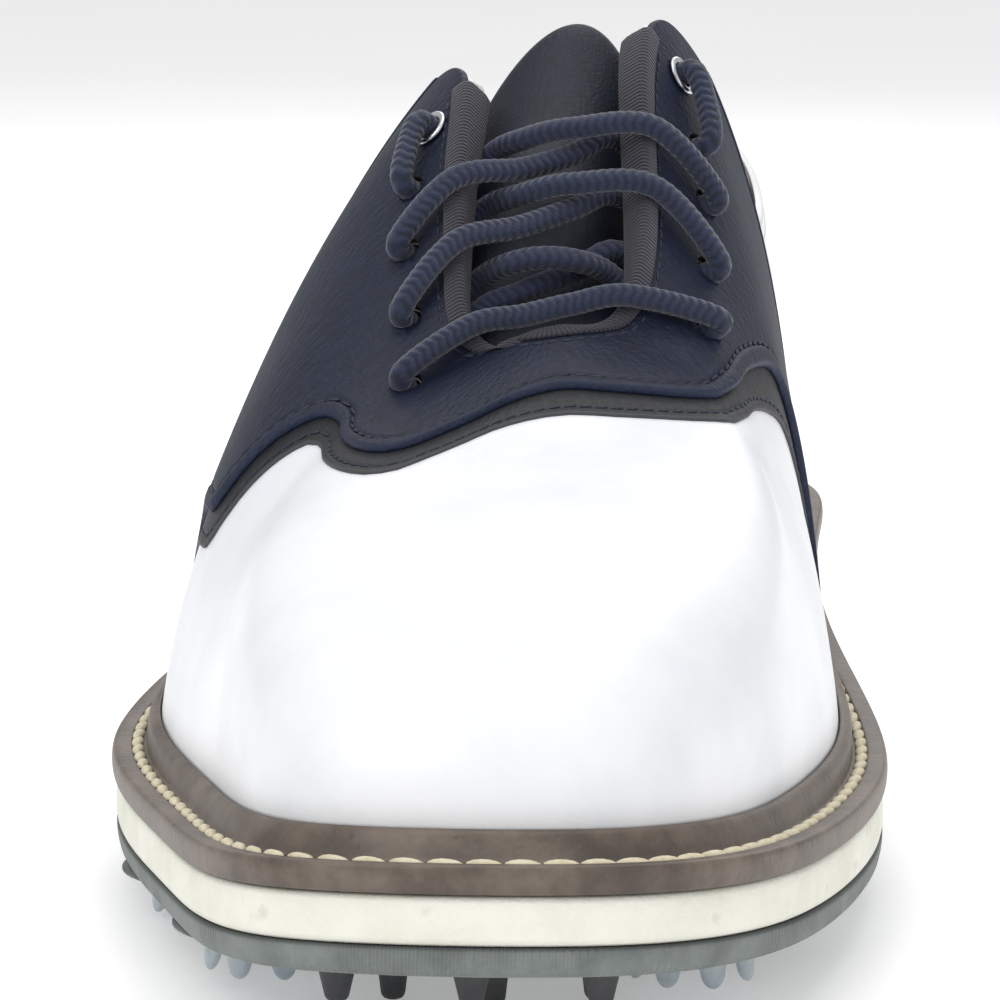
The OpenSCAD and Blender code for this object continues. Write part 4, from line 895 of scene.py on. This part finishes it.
def leather_piece(name, rows, w0, w1, finish, body="shoe", step=2.0, up=40,
                  relief=None, plain=(), soft=0.55, rim=EDGE_STEPS):
    """A layer over the rows' region from level w0 to w1. Its edges round over within
    `soft` times its thickness: height (1 - (1 - d / r)^2)^0.5 at distance d from an edge.
    relief(d) adds folds and grooves; edges named in plain are left out of d."""
    rows = np.asarray(rows, float)
    a = np.linspace(0, len(rows) - 1, 500)
    r = along(rows, a)
    middle = wall((r[:, 0] + r[:, 2]) / 2, (r[:, 1] + r[:, 3]) / 2)
    low_line, high_line = wall(r[:, 0], r[:, 1]), wall(r[:, 2], r[:, 3])
    s = (run_length(middle) + run_length(low_line) + run_length(high_line)) / 3
    at = edge_spaced(s[-1], step, rim)
    r = along(rows, np.interp(at, s, a))
    f = np.linspace(0, 1, 25)[None]
    probe = wall(r[:, :1] + (r[:, 2:3] - r[:, :1]) * f, r[:, 1:2] + (r[:, 3:4] - r[:, 1:2]) * f)
    reach = np.linalg.norm(np.diff(probe, axis=1), axis=-1).sum(1)
    ratio = np.minimum(1.0, reach / (2.4 * rim[-1]))[:, None]
    e = rim[None] * ratio
    inner = e[:, -1:] + (reach[:, None] - 2 * e[:, -1:]) * np.linspace(0, 1, up)[None]
    d = np.concatenate([e[:, :-1], inner, reach[:, None] - e[:, :-1][:, ::-1]], 1)
    f = d / reach[:, None]
    k = r[:, :1] + (r[:, 2:3] - r[:, :1]) * f
    t = r[:, 1:2] + (r[:, 3:4] - r[:, 1:2]) * f
    far = {"low": d, "high": reach[:, None] - d, "start": at[:, None] + 0 * d,
           "end": at[-1] - at[:, None] + 0 * d}
    near = np.min([v for side, v in far.items() if side not in plain], axis=0)
    every = np.min(list(far.values()), axis=0)
    thick = w1 - w0
    h = thick * np.sqrt(np.clip(1 - (1 - np.clip(every / (soft * thick), 0, 1)) ** 2, 0.02, 1))
    w = w0 + h + (relief(near, k, t) if relief else 0)
    top, under = skin(k, t, w), skin(k, t, np.full_like(k, w0))
    points, faces = shell(top, under)
    twice = lambda v: np.concatenate([v.ravel(), v.ravel()])
    uv = np.stack([np.broadcast_to(at[:, None], k.shape), d], -1).reshape(-1, 2)
    piece = make_piece(name, [(points, faces)], body, {"edge": twice(near), "low": twice(far["low"])},
                       np.concatenate([uv, uv]))
    return dress(piece, finish)


def seam(rows, side, inset, w, first=0.0, last=1.0):
    """The line that runs `inset` inside one edge of a region, at level w."""
    rows = np.asarray(rows, float)
    a = np.linspace(0, len(rows) - 1, 700)
    r = along(rows, a)
    if side in ("start", "end"):
        r = r[:60] if side == "start" else r[-60:][::-1]
        base = r[0]
        f = np.linspace(first, last, 400)
        k0, t0 = base[0] + (base[2] - base[0]) * f, base[1] + (base[3] - base[1]) * f
        b = r[-1]
        k1, t1 = b[0] + (b[2] - b[0]) * f, b[1] + (b[3] - b[1]) * f
        gap = np.linalg.norm(wall(k1, t1) - wall(k0, t0), axis=-1)
        g = inset / np.maximum(gap, 1e-3)
        return k0 + (k1 - k0) * g, t0 + (t1 - t0) * g, np.full(400, float(w))
    reach = np.linalg.norm(wall(r[:, 2], r[:, 3]) - wall(r[:, 0], r[:, 1]), axis=-1)
    f = inset / reach if side == "low" else 1 - inset / reach
    k, t = r[:, 0] + (r[:, 2] - r[:, 0]) * f, r[:, 1] + (r[:, 3] - r[:, 1]) * f
    keep = slice(int(first * 700), int(last * 700))
    return k[keep], t[keep], np.full(700, float(w))[keep]


def stitching(name, lines, pitch, size, thread=DARK_THREAD_AND_SLIT_SHADE):
    """Thread stitches along lines on the upper, each half sunk in the leather."""
    parts = []
    for k, t, w in lines:
        p, n = surface_run(k, t, w, pitch)
        parts.append(beads(p[1:-1], p[2:] - p[:-2], n[1:-1], size, 6, 6, 0.12))
    dress(make_piece(name, parts, "shoe", weld=0.004), thread)


def punch(piece, holes, diameter, w0, w1):
    """Cuts round holes along the surface's normal; their walls show raw edge."""
    parts = []
    for k, t in holes:
        foot, n = skin(np.array(k), np.array(t), np.array(w0)), wall_normal(np.array(k), np.array(t))
        parts.append(lathe_part([(0, 0), (diameter / 2, 0), (diameter / 2, w1 - w0), (0, w1 - w0)],
                                28, foot, n))
    cutter = dress(make_piece("cutter", parts, "shoe", weld=0.002), RAW_EDGE)
    piece.data.materials.append(RAW_EDGE)
    cut = piece.modifiers.new("holes", "BOOLEAN")
    cut.operation, cut.solver, cut.object = "DIFFERENCE", "EXACT", cutter
    bpy.context.view_layer.update()
    mesh = bpy.data.meshes.new_from_object(piece.evaluated_get(bpy.context.evaluated_depsgraph_get()))
    piece.modifiers.clear()
    piece.data = mesh
    bpy.data.objects.remove(cutter)


def turned_edge(near, k, t):
    """A folded edge about 2.6 mm wide stands proud, with its stitch line sunk beside it."""
    return 0.2 * (1 - ease((near - 1.9) / 1.0)) - 0.38 * np.exp(-((near - 2.9) / 0.42) ** 2)


def cut_edge(near, k, t):
    """A flat cut edge with a shallow stitch line 2.2 mm in."""
    return -0.2 * np.exp(-((near - 2.2) / 0.4) ** 2)


LATERAL_REAR = np.array([[0.03 + 7.3 * i / 12, FOOT_T, 0.03 + 7.17 * i / 12, TOP_SHARE]
                         for i in range(13)])
MEDIAL_REAR = np.array([[31.97 - 6.57 * i / 11, FOOT_T, 31.97 - 6.97 * i / 11, TOP_SHARE]
                        for i in range(11, -1, -1)])
lateral_rows = np.concatenate([LATERAL_REAR, LATERAL_FRONT])
medial_rows = np.concatenate([MEDIAL_FRONT[::-1], MEDIAL_REAR])


def toe_crease(near, k, t):
    """Faint creases of a lasted vamp, strongest low on the toe's sides."""
    return 0.05 * np.sin(k * 9 + t * 5) * np.exp(-((t - 0.25) / 0.2) ** 2)


for name, rows, level, thick, slot, finish, kind in (
        ("vamp", VAMP_ROWS, LEATHER_W, LEATHER_T, "white_leather", WHITE, toe_crease),
        ("vamp_lining", VAMP_ROWS, 0, LINING_T, "lining_leather", LINING, None),
        ("lateral_quarter", lateral_rows, LEATHER_W, LEATHER_T, "white_leather", WHITE, None),
        ("medial_quarter", medial_rows, LEATHER_W, LEATHER_T, "white_leather", WHITE, None),
        ("lateral_lining", lateral_rows, 0, LINING_T, "lining_leather", LINING, None),
        ("medial_lining", medial_rows, 0, LINING_T, "lining_leather", LINING, None),
        ("saddle_underlay", UNDERLAY_ROWS, UNDERLAY_W, UNDERLAY_T, "grey_leather", GREY_LEATHER,
         cut_edge),
        ("saddle", SADDLE_ROWS, SADDLE_W, SADDLE_T, "navy_leather", PEBBLED, turned_edge)):
    piece = leather_piece(name + "_leather", rows, level, level + thick, finish, relief=kind,
                          plain=("high",) if name == "saddle" else (), up=44 if thick > 1 else 26,
                          step=1.8 if name == "saddle" else 2.4)
    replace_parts(piece, name)
    if name in ("lateral_quarter", "lateral_lining", "saddle"):
        punch(piece, HOLES_LATERAL, HOLE_D, -2.0, 8.0)
    if name in ("medial_quarter", "medial_lining", "saddle"):
        punch(piece, HOLES_MEDIAL, HOLE_D, -2.0, 8.0)

strip_rows = [[i * 0.42, 0.09, i * 0.3, 0.97] for i in range(-3, 4)]
strip = leather_piece("back_strip_leather", strip_rows, UNDERLAY_W, UNDERLAY_W + STRIP_T,
                      PEBBLED, relief=turned_edge, step=1.5)
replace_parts(strip, "back_strip")

LONG_STITCH, SHORT_STITCH = (1.0, 0.3, 0.22), (0.9, 0.28, 0.2)
thread_w = SADDLE_TOP - 0.18
stitching("saddle_stitching", [seam(SADDLE_ROWS, side, STITCH_IN, thread_w, first, last)
          for side, first, last in (("start", 0.0, 0.97), ("low", 0.06, 0.92), ("end", 0.0, 0.97))],
          2.5, LONG_STITCH)
stitching("underlay_stitching", [seam(UNDERLAY_ROWS, "low", 2.2, UNDERLAY_W + 0.36, 0.02, 0.98)],
          2.3, SHORT_STITCH)
stitching("back_strip_stitching", [seam(strip_rows, side, STITCH_IN, UNDERLAY_W + 1.05)
          for side in ("start", "end")], 2.5, LONG_STITCH)
topline = np.linspace(-6.6, 6.6, 700)
stitching("topline_stitching", [(topline, np.full(700, 0.93), np.full(700, 3.33))],
          2.6, (1.0, 0.28, 0.2), PALE_THREAD)

# ---------- binding of the facings and throat ----------
k = np.arange(8.5, 23.7501, 0.03)
share = 2.7 / np.linalg.norm(wall(k, 0.9) - wall(k, 1.0), axis=-1) * 0.1
outer, inner = SADDLE_TOP + 0.62, -0.6
shape = [(1, SADDLE_TOP + 0.1), (1.02, SADDLE_TOP + 0.4), (0.9, outer), (0.45, outer + 0.02),
         (0.1, outer - 0.05), (-0.12, outer - 0.5), (-0.25, outer - 1.3),
         (-0.25, 3), (-0.25, 1), (-0.12, inner + 0.2),
         (0.1, inner), (0.5, inner - 0.02), (0.95, inner), (1.02, inner + 0.2), (1, -0.12),
         (0.1, -0.12), (0.05, 0.2), (0.05, SADDLE_TOP - 0.3), (0.1, SADDLE_TOP + 0.1)]
section = np.stack([skin(k, 1 - share * b, np.full(len(k), w)) for b, w in shape], 1)
s = run_length(section[:, 3])
section = np.concatenate([section[:1] * 0 + section[:1].mean(1, keepdims=True), section,
                          section[-1:] * 0 + section[-1:].mean(1, keepdims=True)])
uv = np.stack(np.broadcast_arrays(np.concatenate([[0], s, s[-1:]])[:, None],
                                  np.linspace(0, 1, len(shape))[None]), -1)
binding = make_piece("facing_binding_tape",
                     [(section, grid_faces(*section.shape[:2], closed_m=True)[:, ::-1])],
                     "shoe", uv=uv, weld=0.002)
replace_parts(dress(binding, TAPE), "facing_binding")
line = 1 - share * 1.45
stitching("binding_stitching", [(k, line, np.full(len(k), SADDLE_TOP + 0.02))], 2.2, (0.9, 0.28, 0.22))


# ---------- tongue: padded, on its own body ----------
def tongue_point(s, v, w):
    """Rows of four control points joined by a smooth curve, each row a cubic Bezier
    arch; w moves the point inwards along the normal."""
    def face(s, v):
        p = along(TONGUE, s)
        r, v = (1 - v)[..., None], v[..., None]
        a, b, c, d = (p[..., i, :] for i in range(4))
        return a * r ** 3 + 3 * b * v * r * r + 3 * c * v * v * r + d * v ** 3
    across, length = face(s, v + 0.01) - face(s, v - 0.01), face(s + 0.02, v) - face(s - 0.02, v)
    return face(s, v) - w[..., None] * unit(np.cross(across, length))


def pad_shell(n, m, outer, inner, s_range=(0.1, 5.95)):
    """Closed pad over the tongue: levels outer(e) and inner(e) from the edge distance share e."""
    s = s_range[0] + (s_range[1] - s_range[0]) * ease(np.linspace(0, 1, n))[:, None] * np.ones(m)
    v = 0.01 + 0.98 * (0.5 - 0.5 * np.cos(np.linspace(0, np.pi, m)))[None] * np.ones((n, 1))
    e = np.minimum(np.minimum(s - s_range[0], s_range[1] - s) / 0.35, np.minimum(v - 0.01, 0.99 - v) / 0.09)
    e = np.sqrt(np.clip(1 - (1 - np.clip(e, 0, 1)) ** 2, 0, 1))
    return tongue_point(s, v, outer(e)), tongue_point(s, v, inner(e)), e


top, under, e = pad_shell(120, 90, lambda e: 1.9 * (1 - e), lambda e: 2.0 + 1.6 * e)
points, faces = shell(under, top)
twice = np.concatenate([e.ravel(), e.ravel()]) * 3
tongue = make_piece("tongue_padded_cover", [(points, faces)], "tongue",
                    {"edge": twice, "low": twice + 20},
                    np.tile(np.stack(np.meshgrid(np.linspace(0, 48, 90), np.linspace(0, 75, 120)), -1)
                            .reshape(-1, 2), (2, 1)))
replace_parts(dress(tongue, TONGUE_LEATHER), "tongue", "tongue_padding")
top, under, e = pad_shell(90, 60, lambda e: 2.3 + 1.35 * e, lambda e: 2.5 + 2.2 * e)
points, faces = shell(under, top)
twice = np.concatenate([e.ravel(), e.ravel()]) * 3
tongue_back = make_piece("tongue_back_lining", [(points, faces)], "tongue",
                         {"edge": twice, "low": twice + 20})
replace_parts(dress(tongue_back, LINING), "tongue_lining")

# ---------- padded collar and footbed ----------
k = np.linspace(-6.35, 6.35, 330)[:, None]
q = np.linspace(0, 1, 34)[None]
swell = ease((6.35 - np.abs(k)) / 1.2)
rise = np.clip(q / 0.74, 0, 1)
t_in = 0.585 + 0.418 * rise
w_in = -0.1 - swell * (4.6 * np.sin(np.pi * rise ** 0.8) + 0.12 * np.sin(rise * 26))
roll = np.clip((q - 0.74) / 0.12, 0, 1)
back = np.clip((q - 0.86) / 0.14, 0, 1)
t_all = np.where(q < 0.74, t_in, 1.003 + 0.006 * np.sin(np.pi * roll) - 0.418 * back)
w_all = np.where(q < 0.74, w_in, -0.1 + 1.75 * roll)
points = skin(k + 0 * q, t_all + 0 * k, w_all)
points = np.concatenate([points[:1] * 0 + points[:1].mean(1, keepdims=True), points,
                         points[-1:] * 0 + points[-1:].mean(1, keepdims=True)])
n, m = points.shape[:2]
mark = np.full(n * m, 8.0)
collar = make_piece("collar_pad_lined", [(points, grid_faces(n, m, closed_m=True)[:, ::-1])], "shoe",
                    {"edge": mark, "low": mark + 12}, weld=0.002)
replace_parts(dress(collar, LINING), "collar_padding", "collar_lining")

inset = curve(WALL_C, ROUND)[:, 0]
levels = [(1.5, 2.12), (1.25, 2.6), (1.3, 4.6), (1.7, 5.6), (2.6, 6.05), (4.5, 6.1)]
sides = np.stack([ring(ROUND, inset + d, above(welt_top, z)) for d, z in levels], 1)
half = len(ROUND) // 2
parts = [(sides, grid_faces(*sides.shape[:2], closed_n=True))]
for edge, z, dish, turn in ((sides[:, 0], 2.12, 0, 1), (sides[:, -1], 6.1, 1.1, -1)):
    a, b = edge[:half + 1], edge[(-np.arange(half + 1)) % len(ROUND)]
    f = np.linspace(0, 1, 40)[None, :, None]
    cap = a[:, None] * (1 - f) + b[:, None] * f
    sink = dish * np.sin(np.pi * f[..., 0]) * ease((cap[..., 1] - 20) / 60)
    cap[:, 1:-1, 2] = (welt_top(cap[..., 1]) + z - sink)[:, 1:-1]
    parts.append((cap, grid_faces(*cap.shape[:2])[:, ::turn]))
footbed = make_piece("footbed_pad", parts, "shoe", weld=0.01)
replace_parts(dress(footbed, SOCK), "footbed")

# ---------- eyelets and badge ----------
rings = []
for hole in (HOLES_LATERAL[4], HOLES_MEDIAL[4]):
    foot = skin(np.array(hole[0]), np.array(hole[1]), np.array(0.0))
    normal = wall_normal(np.array(hole[0]), np.array(hole[1]))
    rings.append(lathe_part([(2.0, -0.1), (2.28, -0.1), (2.29, SADDLE_TOP), (3.2, SADDLE_TOP + 0.22),
                             (3.3, SADDLE_TOP + 0.42), (3.2, SADDLE_TOP + 0.68), (2.85, SADDLE_TOP + 0.86),
                             (2.4, SADDLE_TOP + 0.82), (2.1, SADDLE_TOP + 0.55), (2.0, SADDLE_TOP + 0.1),
                             (2.0, -0.1)], 48, foot, normal))
eyelets = make_piece("top_eyelet_rings", rings, "shoe", weld=0.002)
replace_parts(dress(eyelets, METAL), "top_eyelets")

# A plain plate with a sunk middle: [station, height share] of its centre
BADGE = (7.25, 0.77)
centre = skin(np.array(BADGE[0]), np.array(BADGE[1]), np.array(LEATHER_W + LEATHER_T))
normal = wall_normal(np.array(BADGE[0]), np.array(BADGE[1]))
lengthwise = unit(np.cross(normal, [0, 0, 1.0]))
upward = np.cross(normal, lengthwise)
a = np.linspace(0, 2 * np.pi, 96, endpoint=False)
flare = 2.35 + 1.15 * np.abs(np.cos(a)) ** 2.5
edge_x = 7.0 * np.sign(np.cos(a)) * np.abs(np.cos(a)) ** 0.55
edge_y = flare * np.sign(np.sin(a)) * np.abs(np.sin(a)) ** 0.55
steps = [(1.0, 0.05), (1.0, 0.6), (0.985, 0.95), (0.94, 1.15), (0.84, 1.18), (0.78, 1.05), (0.75, 0.8),
         (0.5, 0.72), (0.001, 0.7)]
plate = np.stack([centre + (edge_x * g)[:, None] * lengthwise + (edge_y * g)[:, None] * upward
                  + h * normal for g, h in steps])
turned = np.cross(lengthwise, upward) @ normal > 0
base = np.concatenate([plate[:1] * 0 + (centre + 0.05 * normal), plate])
faces = grid_faces(*base.shape[:2], closed_m=True)
badge = make_piece("side_badge_plate", [(base, faces[:, ::-1] if turned else faces)], "shoe",
                   weld=0.02)
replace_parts(dress(badge, METAL), "side_badge")

# ---------- floor, light, background ----------
bpy.ops.mesh.primitive_plane_add(size=6, location=(0, 0, -0.0004))
floor = bpy.context.object
floor.name = "floor"
FLOOR = finish_of("floor_board", plain_grain((0.86, 0.86, 0.86), (0.84, 0.84, 0.845), 40, 0.7, 0.00001),
                  Emission_Color=(1, 1, 1, 1), Emission_Strength=0.3)
dress(floor, FLOOR)

for name, spot, energy, size in (("key", (-0.55, -0.75, 1.0), 5.0, 0.8), ("fill", (0.8, -0.7, 0.6), 1.8, 0.9),
                                 ("top", (0.05, 0.1, 1.2), 4, 0.9), ("rear", (0.1, 0.9, 0.7), 2.5, 0.8)):
    data = bpy.data.lights.new(name, "AREA")
    data.energy, data.size = energy, size
    lamp = bpy.data.objects.new(name, data)
    lamp.location = spot
    lamp.rotation_euler = (Vector((0, 0, 0.05)) - lamp.location).to_track_quat("-Z", "Y").to_euler()
    bpy.context.scene.collection.objects.link(lamp)
world = bpy.data.worlds.new("studio")
world.use_nodes = True
world.node_tree.nodes["Background"].inputs[0].default_value = (1, 1, 1, 1)
world.node_tree.nodes["Background"].inputs[1].default_value = 0.58
bpy.context.scene.world = world
bpy.context.scene.view_settings.view_transform = "Standard"
